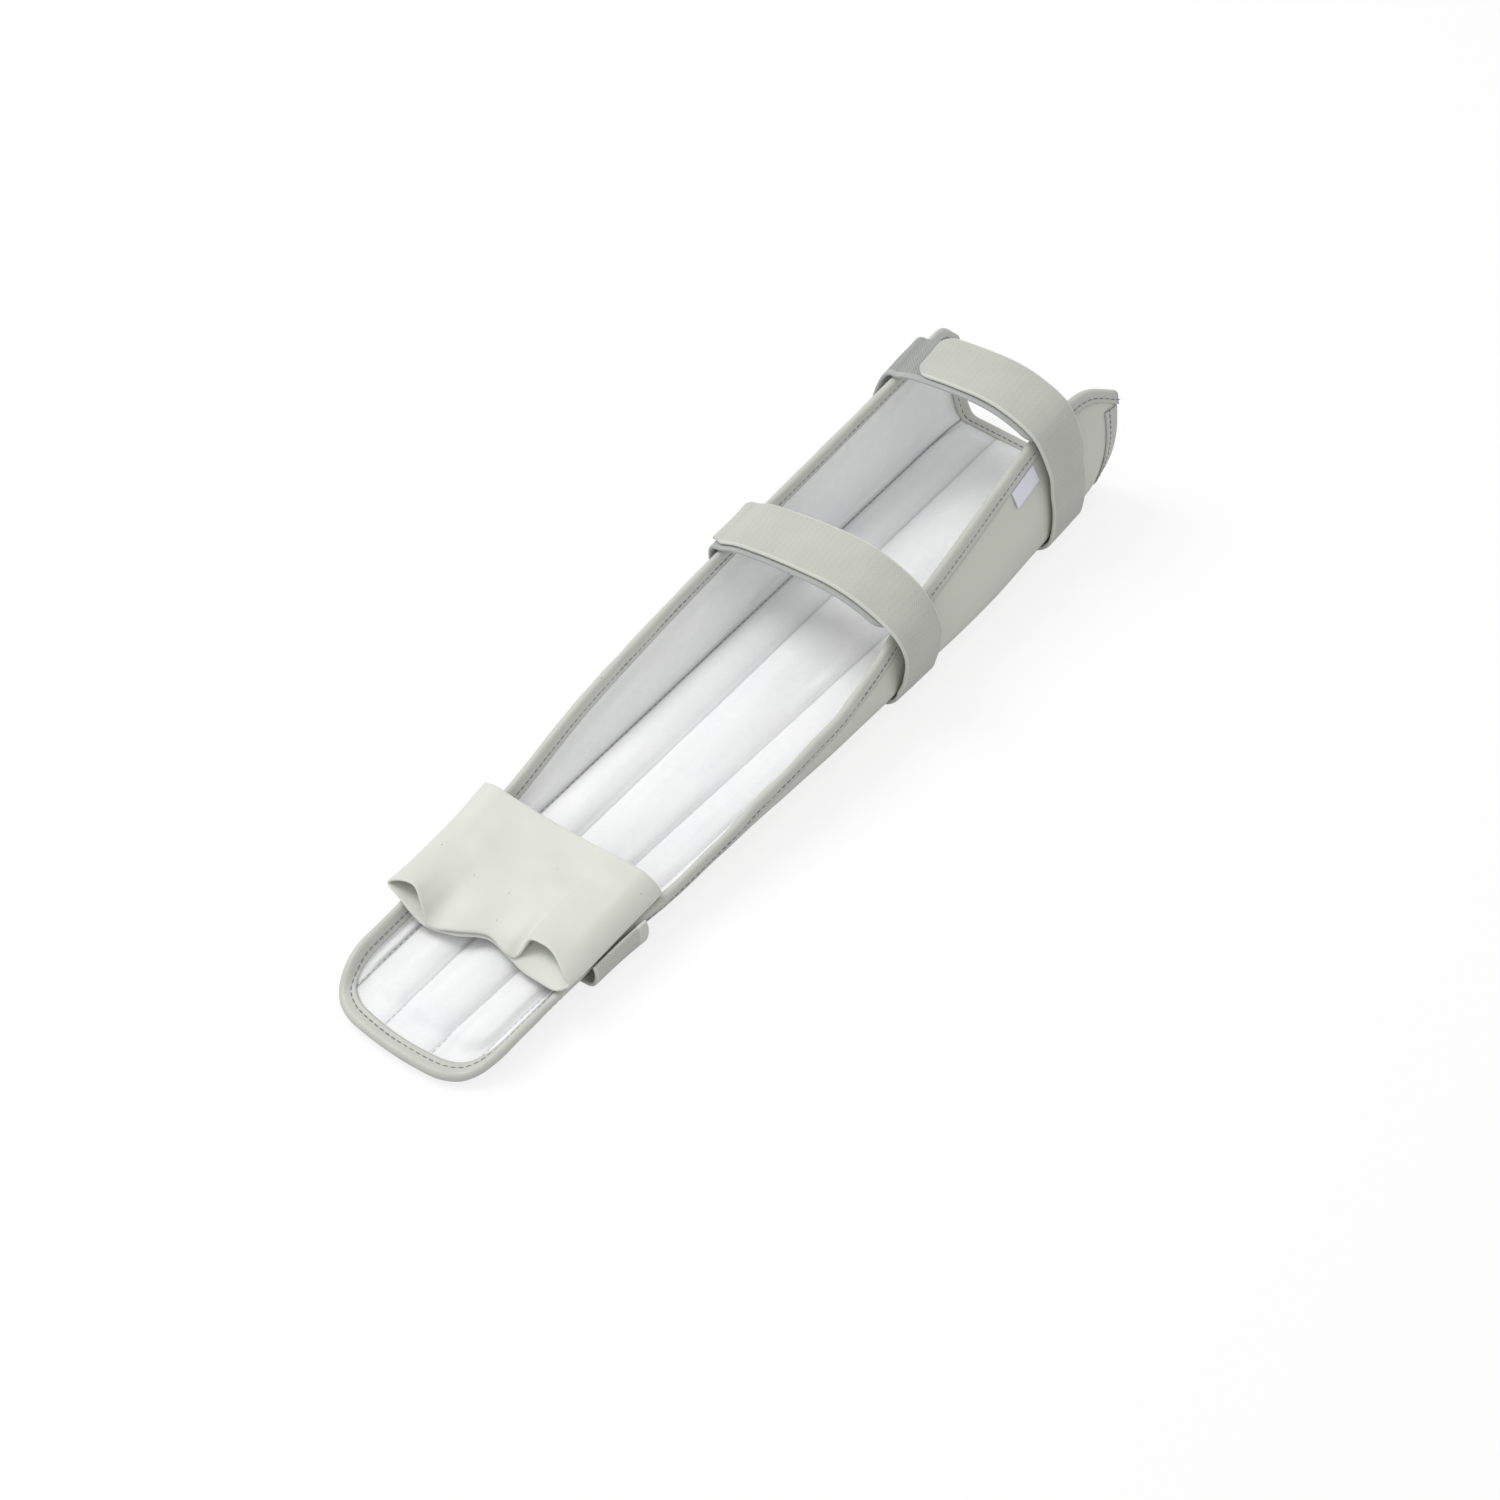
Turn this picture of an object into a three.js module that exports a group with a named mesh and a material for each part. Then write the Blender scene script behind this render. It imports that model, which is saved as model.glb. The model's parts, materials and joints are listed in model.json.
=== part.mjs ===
// Intravenous arm board: a padded cloth trough that holds a forearm still on a bed or a table.
// +X runs from the hand end to the elbow end, +Y to the left wall, +Z up, in millimetres.
// The board is cut as one flat tapered pattern. A place on it is given by x, measured from the
// hand end, by s, the distance across the cloth from the centre line, and by depth, measured
// from the outer face of the cloth towards the arm.
import * as THREE from "three";

// Whole board
const BOARD_LENGTH = 418; // hand end to elbow end
const LEFT_FLOOR = 28.7; // centre line to the foot of the left wall
const RIGHT_FLOOR = 38.8; // centre line to the foot of the right wall
const LEFT_REACH = 95; // centre line to the left rim, along the cloth
const RIGHT_REACH = 105; // centre line to the right rim, along the cloth
const LEFT_BEND = 8; // bend radius at the foot of the left wall
const RIGHT_BEND = 12; // bend radius at the foot of the right wall
const HAND_BOW = 6; // how far the hand end bows outwards
const HAND_CORNER = 24; // corner radius of the hand end
const GAP = 0.3; // air between two pieces that lie on each other

// Cloth, padding and tape
const SHELL_WALL = 1;
const CLOTH_GAP = 0.4; // air between the shell and the padding
const PAD_SEAM = 1.5; // padding at its seams and edges
const PAD_PUFF = 3; // how far a channel swells above its seams
const PAD_EDGE = 0.8; // padding squeezed under the binding
const PAD_RISE = 7; // distance in which the padding swells from the binding
const BINDING_WIDTH = 7;
const BINDING_WALL = 0.7;
const TAPE_GAP = 0.6; // air between the binding tape and the cloth inside its fold

// Webbing straps
const WEBBING_WALL = 1.7;
const STRAP_WIDTH = 25;
const FOREARM_STRAP_X = 267; // middle of the strap from the hand end
const ELBOW_STRAP_X = 379;
const HOOK_SHIFT = 1.5; // the hook strap lies this much nearer the hand
const FOREARM_ARCH = 11; // rise of the strap above the rims
const ELBOW_ARCH = 8;
const STRAP_SEAT = 0.7; // air between the strap and the lower wall
const FOREARM_SLACK = { left: 1.6, right: 3.5 }; // air between the strap and the rims
const ELBOW_SLACK = { left: 1.4, right: 1.6 };
const FOREARM_BULGE = { left: 3, right: 2.8 }; // more air half way up the wall
const ELBOW_BULGE = { left: 6.5, right: 1 };
const TIP_ROUND = 7; // corner radius at a strap's free end
const STRAP_STEP = 4.5; // length of a strap's facets
const LAP_GAP = 0.45; // air between the two straps where they overlap
const RIM_AIR = 1.2; // air between the straps and the left rim's top

// Wrist flap, a flattened sleeve of coated cloth
const FLAP_WALL = 1.2;
const FLAP_WIDTH = 64; // along the board
const FLAP_START = 48; // front edge from the hand end
const FLAP_LOFT = 8; // height of its open folds above the rims
const FLAP_TAPER = 0.08; // share by which its right part is narrower at the back
const FLAP_FADE = 2.4; // power by which its front folds fade towards the back
const TAB_WIDTH = 29;
const TAB_START = 70; // from the hand end
const TAB_RUN = 30; // how far the tab lies under the floor

// Label
const LABEL_LENGTH = 17;
const LABEL_WIDTH = 7.5;
const LABEL_WALL = 0.5;
const LABEL_GAP = 1; // from the label to the elbow strap

const FLOOR_Z = WEBBING_WALL + GAP; // outer face of the floor, above the straps' underside
const EDGE_INSET = BINDING_WALL + TAPE_GAP; // cloth edge inside the binding's fold
const PAD_BOTTOM = SHELL_WALL + CLOTH_GAP;
const BINDING_INSIDE = PAD_BOTTOM + PAD_EDGE + TAPE_GAP; // depth of the binding's inner leaf
const BINDING_TOP = BINDING_INSIDE + BINDING_WALL;
const BINDING_REACH = BINDING_WIDTH + GAP;
const RAD = Math.PI / 180;

// Each wall at stations along the board. at: share of the board's length. floor: share of the
// floor width on that side. reach: share of the reach. turn: angle of the wall above its foot.
// curl: how much the wall bends inwards on its way up. flare: bend of its last stretch.
const LEFT_WALL = [
  { at: 0.0, floor: 1.0, reach: 0.445, turn: 50, curl: 8, flare: 0 },
  { at: 0.139, floor: 1.0, reach: 0.46, turn: 47, curl: 10, flare: 0 },
  { at: 0.282, floor: 1.0, reach: 0.52, turn: 58, curl: 10, flare: 0 },
  { at: 0.402, floor: 1.0, reach: 0.635, turn: 69, curl: 10, flare: 0 },
  { at: 0.522, floor: 1.0, reach: 0.697, turn: 71, curl: 10, flare: 0 },
  { at: 0.641, floor: 1.0, reach: 0.763, turn: 76, curl: 10, flare: 0 },
  { at: 0.761, floor: 1.0, reach: 0.857, turn: 83, curl: 10, flare: 0 },
  { at: 0.904, floor: 1.0, reach: 0.97, turn: 88, curl: 10, flare: 0 },
  { at: 0.94, floor: 0.98, reach: 0.975, turn: 87, curl: 8, flare: 0 },
  { at: 0.972, floor: 0.91, reach: 0.907, turn: 76, curl: 20, flare: -2 },
  { at: 1.0, floor: 0.76, reach: 0.752, turn: 58, curl: 40, flare: -6 },
];
const RIGHT_WALL = [
  { at: 0.0, floor: 0.7, reach: 0.405, turn: 65, curl: 5, flare: 0 },
  { at: 0.139, floor: 0.7, reach: 0.415, turn: 63, curl: 4, flare: 0 },
  { at: 0.209, floor: 0.72, reach: 0.44, turn: 76, curl: 6, flare: 0 },
  { at: 0.282, floor: 0.8, reach: 0.5, turn: 76, curl: 6, flare: 0 },
  { at: 0.402, floor: 0.87, reach: 0.595, turn: 80, curl: 8, flare: 0 },
  { at: 0.522, floor: 0.94, reach: 0.69, turn: 84, curl: 11, flare: 0 },
  { at: 0.581, floor: 0.957, reach: 0.74, turn: 86, curl: 23, flare: 0 },
  { at: 0.641, floor: 0.97, reach: 0.8, turn: 88, curl: 37, flare: 0 },
  { at: 0.761, floor: 1.0, reach: 0.915, turn: 88, curl: 44, flare: 0 },
  { at: 0.904, floor: 0.935, reach: 0.995, turn: 88, curl: 38, flare: 0 },
  { at: 0.94, floor: 0.925, reach: 1.0, turn: 88, curl: 35, flare: 0 },
  { at: 0.972, floor: 0.87, reach: 0.977, turn: 80, curl: 39, flare: 0 },
  { at: 1.0, floor: 0.8, reach: 0.903, turn: 68, curl: 38, flare: 0 },
];

// Lengthways seams of the padding, right to left, as shares of the floor on their side. One more
// runs along the foot of the left wall.
const SEAMS = [
  { side: -1, hand: 0.78, elbow: 1.15 },
  { side: -1, hand: 0.343, elbow: 0.73 },
  { side: 1, hand: 0.29, elbow: 0.29 },
];

// A strap's arch over the arm. across: from the right rim, -1, to the left rim, 1. rise: share of
// the arch's height.
const ARCH = [
  { across: -0.86, rise: 0.42 },
  { across: -0.66, rise: 0.74 },
  { across: -0.44, rise: 0.95 },
  { across: -0.18, rise: 1.0 },
  { across: 0.1, rise: 0.89 },
  { across: 0.35, rise: 0.74 },
  { across: 0.6, rise: 0.55 },
  { across: 0.83, rise: 0.32 },
];

// The flap's loop, from its right fold over the top to its left fold and back below. across: share
// of the rim's distance from the centre line. front, back: height over the rims at the two open
// ends, as shares of the flap's loft. start: share of the flap's width that its front is set back.
const FLAP_LOOP = [
  { across: -1.05, front: 0.45, back: 0.2, start: 0.14 },
  { across: -0.98, front: 0.72, back: 0.62, start: 0.155 },
  { across: -0.86, front: 0.95, back: 0.92, start: 0.19 },
  { across: -0.72, front: 1.08, back: 0.92, start: 0.225 },
  { across: -0.57, front: 1.02, back: 0.85, start: 0.234 },
  { across: -0.44, front: 0.8, back: 0.78, start: 0.225 },
  { across: -0.4, front: 0.2, back: 0.74, start: 0.18 },
  { across: -0.36, front: -0.2, back: 0.7, start: 0.14 },
  { across: -0.25, front: -0.14, back: 0.62, start: 0.13 },
  { across: 0.0, front: -0.02, back: 0.5, start: 0.156 },
  { across: 0.3, front: -0.04, back: 0.38, start: 0.06 },
  { across: 0.55, front: -0.08, back: 0.33, start: 0.0 },
  { across: 0.7, front: 0.6, back: 0.33, start: 0.05 },
  { across: 0.85, front: 1.0, back: 0.32, start: 0.1 },
  { across: 1.03, front: 0.85, back: 0.3, start: 0.09 },
  { across: 1.15, front: 0.42, back: 0.06, start: 0.06 },
  { across: 1.0, front: 0.16, back: 0.06, start: 0.04 },
  { across: 0.8, front: -0.08, back: 0.08, start: 0.01 },
  { across: 0.6, front: -0.3, back: 0.1, start: 0.0 },
  { across: 0.3, front: -0.27, back: 0.16, start: 0.05 },
  { across: 0.0, front: -0.27, back: 0.26, start: 0.15 },
  { across: -0.28, front: -0.38, back: 0.36, start: 0.133 },
  { across: -0.5, front: -0.45, back: 0.45, start: 0.11 },
  { across: -0.75, front: -0.2, back: 0.45, start: 0.094 },
  { across: -0.93, front: 0.04, back: 0.35, start: 0.086 },
  { across: -1.0, front: 0.2, back: 0.2, start: 0.1 },
];

// Value of one column of a station table at x, on a smooth curve through its rows.
function station(table, column, x) {
  const at = THREE.MathUtils.clamp(x / BOARD_LENGTH, 0, 1);
  let i = 0;
  while (i < table.length - 2 && at > table[i + 1].at) i += 1;
  const [a, b] = [table[i], table[i + 1]];
  const before = table[Math.max(i - 1, 0)];
  const after = table[Math.min(i + 2, table.length - 1)];
  const span = b.at - a.at;
  const slopeA = ((b[column] - before[column]) / (b.at - before.at)) * span;
  const slopeB = ((after[column] - a[column]) / (after.at - a.at)) * span;
  const t = (at - a.at) / span;
  const rise = b[column] - a[column];
  return a[column] + t * (slopeA + t * (3 * rise - 2 * slopeA - slopeB + t * (slopeA + slopeB - 2 * rise)));
}

// Shape of one wall at x: where the floor ends, where the bend ends, and where the rim is.
function wallAt(x, side) {
  const left = side > 0;
  const table = left ? LEFT_WALL : RIGHT_WALL;
  const bend = left ? LEFT_BEND : RIGHT_BEND;
  const floor = station(table, "floor", x) * (left ? LEFT_FLOOR : RIGHT_FLOOR);
  const turn = station(table, "turn", x) * RAD;
  return {
    bend,
    floor,
    turn,
    foot: floor + bend * turn,
    reach: station(table, "reach", x) * (left ? LEFT_REACH : RIGHT_REACH),
    curl: station(table, "curl", x) * RAD,
    flare: station(table, "flare", x) * RAD,
  };
}

// Angle of the cloth above the table at distance s from the centre line.
function heading(wall, s) {
  if (s <= wall.floor) return 0;
  if (s < wall.foot) return (s - wall.floor) / wall.bend;
  const up = Math.min((s - wall.foot) / (wall.reach - wall.foot), 1);
  return wall.turn + wall.curl * up + wall.flare * up ** 2;
}

const SECTION_STEPS = 60;

// The point at x, at s across the cloth (left positive) and at depth inwards from its outer face.
function place(x, s, depth) {
  const side = s < 0 ? -1 : 1;
  const wall = wallAt(x, side);
  const run = Math.abs(s);
  const flat = Math.min(run, wall.floor);
  const step = (run - flat) / SECTION_STEPS;
  let [y, z] = [flat, FLOOR_Z];
  for (let i = 0; i < SECTION_STEPS && step > 0; i += 1) {
    const angle = heading(wall, flat + (i + 0.5) * step);
    y += step * Math.cos(angle);
    z += step * Math.sin(angle);
  }
  const lean = heading(wall, run);
  return new THREE.Vector3(x, side * (y - depth * Math.sin(lean)), z + depth * Math.cos(lean));
}

// The hand end's outline, inset from the binding's outer edge: x for a place across the cloth.
const HAND_END = HAND_BOW + HAND_CORNER;

function handX(s, inset) {
  const edge = wallAt(HAND_END, Math.sign(s) || 1).reach - inset;
  const radius = HAND_CORNER - inset;
  const over = THREE.MathUtils.clamp(Math.abs(s) - (edge - radius), 0, radius);
  return inset + HAND_BOW * (s / edge) ** 2 + radius - Math.sqrt(radius ** 2 - over ** 2);
}

// Places across the cloth at x, spread between named knots.
function spread(knots, counts) {
  const places = [knots[0]];
  counts.forEach((count, i) => {
    for (let k = 1; k <= count; k += 1) {
      places.push(THREE.MathUtils.lerp(knots[i], knots[i + 1], k / count));
    }
  });
  return places;
}

// A closed solid between two grids of points of equal size. A ring closes on its first column.
function wallSolid(outer, inner, ring = false) {
  const rows = outer.length;
  const columns = outer[0].length;
  const points = [...outer.flat(), ...inner.flat()];
  const innerStart = rows * columns;
  const index = [];
  const quad = (a, b, c, d) => index.push(a, b, c, a, c, d);
  const node = (row, column) => row * columns + (column % columns);
  const lastColumn = ring ? columns : columns - 1;
  for (let r = 0; r < rows - 1; r += 1) {
    for (let c = 0; c < lastColumn; c += 1) {
      const [a, b, d, e] = [node(r, c), node(r + 1, c), node(r + 1, c + 1), node(r, c + 1)];
      quad(a, b, d, e);
      quad(innerStart + a, innerStart + e, innerStart + d, innerStart + b);
    }
  }
  for (let c = 0; c < lastColumn; c += 1) {
    const [a, b] = [node(0, c), node(0, c + 1)];
    const [d, e] = [node(rows - 1, c), node(rows - 1, c + 1)];
    quad(a, b, innerStart + b, innerStart + a);
    quad(e, d, innerStart + d, innerStart + e);
  }
  for (let r = 0; r < rows - 1 && !ring; r += 1) {
    const [a, b] = [node(r, 0), node(r + 1, 0)];
    const [d, e] = [node(r, columns - 1), node(r + 1, columns - 1)];
    quad(b, a, innerStart + a, innerStart + b);
    quad(d, e, innerStart + e, innerStart + d);
  }
  let volume = 0;
  for (let i = 0; i < index.length; i += 3) {
    const [a, b, c] = [points[index[i]], points[index[i + 1]], points[index[i + 2]]];
    volume += a.dot(b.clone().cross(c));
  }
  if (volume < 0) index.reverse();
  const geometry = new THREE.BufferGeometry().setFromPoints(points);
  geometry.setIndex(index);
  return geometry;
}

const board = new THREE.Group();

function addPiece(name, geometry, colour, roughness) {
  geometry.computeVertexNormals();
  const material = new THREE.MeshStandardMaterial({ color: colour, roughness, metalness: 0 });
  const mesh = new THREE.Mesh(geometry, material);
  mesh.name = name;
  board.add(mesh);
}

const COATED_CLOTH = "#cfd3ca";
const LINING_CLOTH = "#f4f5f8";
const WEBBING = "#bfc1b7";
const HOOK_TAPE = "#b9bfc2";
const LABEL_CLOTH = "#e9e8f6";

// A sheet that covers the whole pattern. across gives its places across the cloth at x, and
// bottom and top its two depths at a place. Its first rows follow the rounded hand end, and from
// STRAIGHT_ROW on they run straight across.
const CLOTH_END = BOARD_LENGTH - EDGE_INSET;
const STRAIGHT_ROW = 0.08; // share of the cloth's length
const HAND_ROWS = [0, BINDING_REACH / CLOTH_END, 0.045];
const STRAIGHT_ROWS = [
  [STRAIGHT_ROW, 0.12, 0.17, 0.225, 0.265, 0.3, 0.335, 0.39, 0.45, 0.51, 0.57, 0.63, 0.69, 0.75],
  [0.81, 0.86, 0.9, 0.93, 0.95, 0.967, 1 - BINDING_REACH / CLOTH_END, 0.992],
].flat();
const ROWS = [...HAND_ROWS, ...STRAIGHT_ROWS, 1];

function boardSheet(across, bottom, top) {
  const start = across(HAND_END).map((s) => handX(s, EDGE_INSET));
  const level = (share, depth) =>
    start.map((x0, column) => {
      const x = x0 * Math.max(1 - share / STRAIGHT_ROW, 0) + share * CLOTH_END;
      const s = across(Math.max(x, HAND_END))[column];
      return place(x, s, depth(x, s));
    });
  return wallSolid(
    ROWS.map((share) => level(share, bottom)),
    ROWS.map((share) => level(share, top)),
  );
}

// Outer shell of coated cloth
const SHELL_COUNTS = [2, 5, 5, 3, 4, 5, 2];

// Places from the floor up one wall: the foot, the binding's inner edge and the cloth's edge.
function wallKnots(x, side) {
  const wall = wallAt(x, side);
  const tapeEdge = wall.reach - BINDING_REACH;
  const foot = Math.min(wall.foot, (wall.floor + tapeEdge) / 2 + BINDING_REACH / 2, tapeEdge - GAP);
  return [foot, tapeEdge, wall.reach - EDGE_INSET].map((s) => side * s);
}

function shellAcross(x) {
  const floors = [-wallAt(x, -1).floor, wallAt(x, 1).floor];
  return spread([...wallKnots(x, -1).reverse(), ...floors, ...wallKnots(x, 1)], SHELL_COUNTS);
}

addPiece(
  "outer_shell",
  boardSheet(shellAcross, () => 0, () => SHELL_WALL),
  COATED_CLOTH,
  0.55,
);

// Padded lining, quilted in lengthways channels
const PAD_COUNTS = [2, 5, 3, 4, 4, 3, 4, 5, 2];

function seamsAt(x) {
  const seams = SEAMS.map(({ side, hand, elbow }) => {
    const floor = side < 0 ? RIGHT_FLOOR : LEFT_FLOOR;
    return side * floor * THREE.MathUtils.lerp(hand, elbow, x / BOARD_LENGTH);
  });
  return [...seams, wallAt(x, 1).floor];
}

function padAcross(x) {
  return spread([...wallKnots(x, -1).reverse(), ...seamsAt(x), ...wallKnots(x, 1)], PAD_COUNTS);
}

// Distance from the binding's outer edge, along the cloth.
function fromEdge(x, s) {
  const wall = wallAt(Math.max(x, HAND_END), Math.sign(s) || 1);
  const radius = HAND_CORNER;
  const toCorner = Math.hypot(
    Math.max(HAND_END - x, 0),
    Math.max(Math.abs(s) - (wall.reach - radius), 0),
  );
  const corner = radius - toCorner;
  return Math.min(wall.reach - Math.abs(s), x, BOARD_LENGTH - x, x < HAND_END ? corner : Infinity);
}

function padTop(x, s) {
  const wall = wallAt(x, Math.sign(s) || 1);
  const lines = [-wall.reach, ...seamsAt(x), wall.reach];
  let channel = 0;
  while (channel < lines.length - 2 && s > lines[channel + 1]) channel += 1;
  const share = (s - lines[channel]) / (lines[channel + 1] - lines[channel]);
  const swell = Math.sin(Math.PI * THREE.MathUtils.clamp(share, 0, 1)) ** 0.7;
  const edge = BINDING_REACH + EDGE_INSET;
  const rise = THREE.MathUtils.smoothstep(fromEdge(x, s) - edge, 0, PAD_RISE);
  return PAD_BOTTOM + THREE.MathUtils.lerp(PAD_EDGE, PAD_SEAM + PAD_PUFF * swell, rise);
}

addPiece("lining_pad", boardSheet(padAcross, () => PAD_BOTTOM, padTop), LINING_CLOTH, 0.95);

// Binding tape, folded over the cloth's edge. in: from the outer edge inwards. depth: as above.
const BINDING_MIDDLE = (BINDING_REACH + EDGE_INSET) / 2;
const FOLD_OUTSIDE = [
  { in: BINDING_WIDTH, depth: -TAPE_GAP - BINDING_WALL },
  { in: BINDING_MIDDLE, depth: -TAPE_GAP - BINDING_WALL },
  { in: BINDING_WALL / 2, depth: -TAPE_GAP - BINDING_WALL },
  { in: 0, depth: (BINDING_TOP - TAPE_GAP) / 2 },
  { in: BINDING_WALL / 2, depth: BINDING_TOP },
  { in: BINDING_MIDDLE, depth: BINDING_TOP },
  { in: BINDING_WIDTH, depth: BINDING_TOP },
];
const FOLD_INSIDE = FOLD_OUTSIDE.map((corner, i) => ({
  in: Math.max(corner.in, BINDING_WALL),
  depth: [-TAPE_GAP, (BINDING_INSIDE - TAPE_GAP) / 2, BINDING_INSIDE][Math.sign(i - 3) + 1],
}));

function tape(path) {
  const leaf = (profile) => path.map((at) => profile.map((corner) => at(corner.in, corner.depth)));
  return wallSolid(leaf(FOLD_OUTSIDE), leaf(FOLD_INSIDE));
}

// One tape runs along the left rim, round the hand end and back along the right rim.
const CORNER_STEPS = 8;
const HAND_STEPS = 6;

function rimStop(side, x) {
  return (inset, depth) => place(x, side * (wallAt(x, side).reach - inset), depth);
}

function cornerStop(side, share) {
  const angle = (1 - share) * 90 * RAD;
  return (inset, depth) => {
    const edge = wallAt(HAND_END, side).reach - inset;
    const radius = HAND_CORNER - inset;
    const s = edge - radius * (1 - Math.sin(angle));
    return place(handX(s * side, inset), side * s, depth);
  };
}

function handStop(share) {
  const right = wallAt(HAND_END, -1).reach - HAND_CORNER;
  const left = wallAt(HAND_END, 1).reach - HAND_CORNER;
  const s = THREE.MathUtils.lerp(left, -right, share);
  return (inset, depth) => place(handX(s, inset), s, depth);
}

function steps(count, first, last) {
  return Array.from({ length: last - first + 1 }, (_, i) => (first + i) / count);
}

const rimStations = [...STRAIGHT_ROWS.map((share) => share * CLOTH_END), BOARD_LENGTH];
const rimPath = [
  ...rimStations.toReversed().map((x) => rimStop(1, x)),
  ...steps(CORNER_STEPS, 0, CORNER_STEPS).map((share) => cornerStop(1, share)),
  ...steps(HAND_STEPS, 1, HAND_STEPS - 1).map((share) => handStop(share)),
  ...steps(CORNER_STEPS, 0, CORNER_STEPS).map((share) => cornerStop(-1, 1 - share)),
  ...rimStations.map((x) => rimStop(-1, x)),
];
addPiece("rim_binding", tape(rimPath), COATED_CLOTH, 0.55);

// A second tape closes the elbow end, between the rim tapes.
const endPlaces = shellAcross(BOARD_LENGTH);
const endRight = -wallAt(BOARD_LENGTH, -1).reach + BINDING_REACH;
const endLeft = wallAt(BOARD_LENGTH, 1).reach - BINDING_REACH;
const endStops = [
  endRight,
  ...endPlaces.filter((s) => s > endRight + GAP && s < endLeft - GAP),
  endLeft,
];
const endPath = endStops.map((s) => (inset, depth) => place(BOARD_LENGTH - inset, s, depth));
addPiece("end_binding", tape(endPath), COATED_CLOTH, 0.55);

// A point of a strap's inner face at a share of its curve, with the outward direction there.
const LEVEL_LIMIT = 0.1; // lower than this above the table's side of the floor counts as level

function faceAt(curve, share) {
  const point = curve.getPointAt(share);
  const along = curve.getTangentAt(share);
  const outward = new THREE.Vector3(0, -along.z, along.y).normalize();
  if (point.z - WEBBING_WALL < LEVEL_LIMIT) {
    point.z = WEBBING_WALL;
    outward.set(0, 0, -1);
  }
  return { point, outward };
}

// The point at a distance outwards from a strap's inner face.
function offFace({ point, outward }, distance) {
  return point.clone().addScaledVector(outward, distance);
}

function aboveTable(point) {
  point.z = Math.max(point.z, 0);
  return point;
}

// Webbing straps. The ring is one long edge of a strap's inner face: it lies under the floor,
// follows both walls and arches over the arm.
function strapRing(x, { arch, slack, bulge }) {
  const wallSide = (side) => {
    const name = side > 0 ? "left" : "right";
    const { floor, foot, reach } = wallAt(x, side);
    const seat = (up) =>
      THREE.MathUtils.lerp(STRAP_SEAT, slack[name], up ** 2) + bulge[name] * Math.sin(Math.PI * up);
    const around = (turned) => side * THREE.MathUtils.lerp(floor, foot, turned);
    const above = (up) => side * THREE.MathUtils.lerp(foot, reach, up);
    return [
      ...[0, 0.5, 0.97].map((out) => new THREE.Vector3(x, side * out * floor, WEBBING_WALL)),
      ...[0.25, 0.5, 0.75].map((turned) => place(x, around(turned), -STRAP_SEAT)),
      ...[0.02, 0.33, 0.66].map((up) => place(x, above(up), -seat(up))),
      place(x, side * reach, -seat(1) - BINDING_WALL),
    ];
  };
  const right = wallSide(-1);
  const left = [...wallSide(1), place(x, wallAt(x, 1).reach + RIM_AIR, BINDING_TOP / 2)];
  const [start, finish] = [right[right.length - 1], left[left.length - 1]];
  const over = ARCH.map(({ across, rise }) => {
    const point = start.clone().lerp(finish, (across + 1) / 2);
    point.z += rise * arch;
    return point;
  });
  const points = [...right, ...over, ...left.reverse()];
  return new THREE.CatmullRomCurve3(points, false, "centripetal");
}

// Shares of the ring at which both straps have their facets, with more of them near a free end.
function ringShares(length, tips) {
  const round = TIP_ROUND / length;
  const near = tips.flatMap((tip) => [-1, -0.6, -0.25, 0, 0.25, 0.6, 1].map((out) => tip + out * round));
  const count = Math.round(length / STRAP_STEP);
  const lattice = Array.from({ length: count }, (_, i) => i / count);
  const clear = lattice.filter((share) => tips.every((tip) => Math.abs(tip - share) > 1.2 * round));
  return [...near, ...clear].sort((a, b) => a - b);
}

// A strap between two shares of the ring. lift gives how far its inner face lies off the ring at a
// share, and shift moves it along the board. Its corners are rounded at tip, one of its two ends.
function strap({ rings, shares }, from, to, shift, lift, tip) {
  const length = rings[0].getLength();
  const levels = { inner: [], outer: [] };
  for (const share of [from, ...shares.filter((mark) => mark > from && mark < to), to]) {
    const faces = rings.map((ring) => faceAt(ring, share));
    const into = Math.max(TIP_ROUND - Math.abs(tip - share) * length, 0);
    const trim = TIP_ROUND - Math.sqrt(TIP_ROUND ** 2 - into ** 2);
    for (const [level, extra] of [["inner", 0], ["outer", WEBBING_WALL]]) {
      const [near, far] = faces.map((face) => offFace(face, lift(share) + extra));
      const across = (distance) => {
        return aboveTable(near.clone().lerp(far, (distance + shift) / STRAP_WIDTH));
      };
      levels[level].push([across(trim), across(STRAP_WIDTH - trim)]);
    }
  }
  return wallSolid(levels.outer, levels.inner);
}

// hookEnd and loopEnd: shares of the ring at which the two straps end.
const STRAP_PLACES = [
  {
    name: "forearm",
    x: FOREARM_STRAP_X,
    arch: FOREARM_ARCH,
    slack: FOREARM_SLACK,
    bulge: FOREARM_BULGE,
    hookEnd: 0.36,
    loopEnd: 0.72,
  },
  {
    name: "elbow",
    x: ELBOW_STRAP_X,
    arch: ELBOW_ARCH,
    slack: ELBOW_SLACK,
    bulge: ELBOW_BULGE,
    hookEnd: 0.38,
    loopEnd: 0.61,
  },
];
const LAP_LENGTH = 0.05; // share of the ring in which the loop strap climbs onto the hook strap
const LAP = WEBBING_WALL + LAP_GAP;

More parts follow.
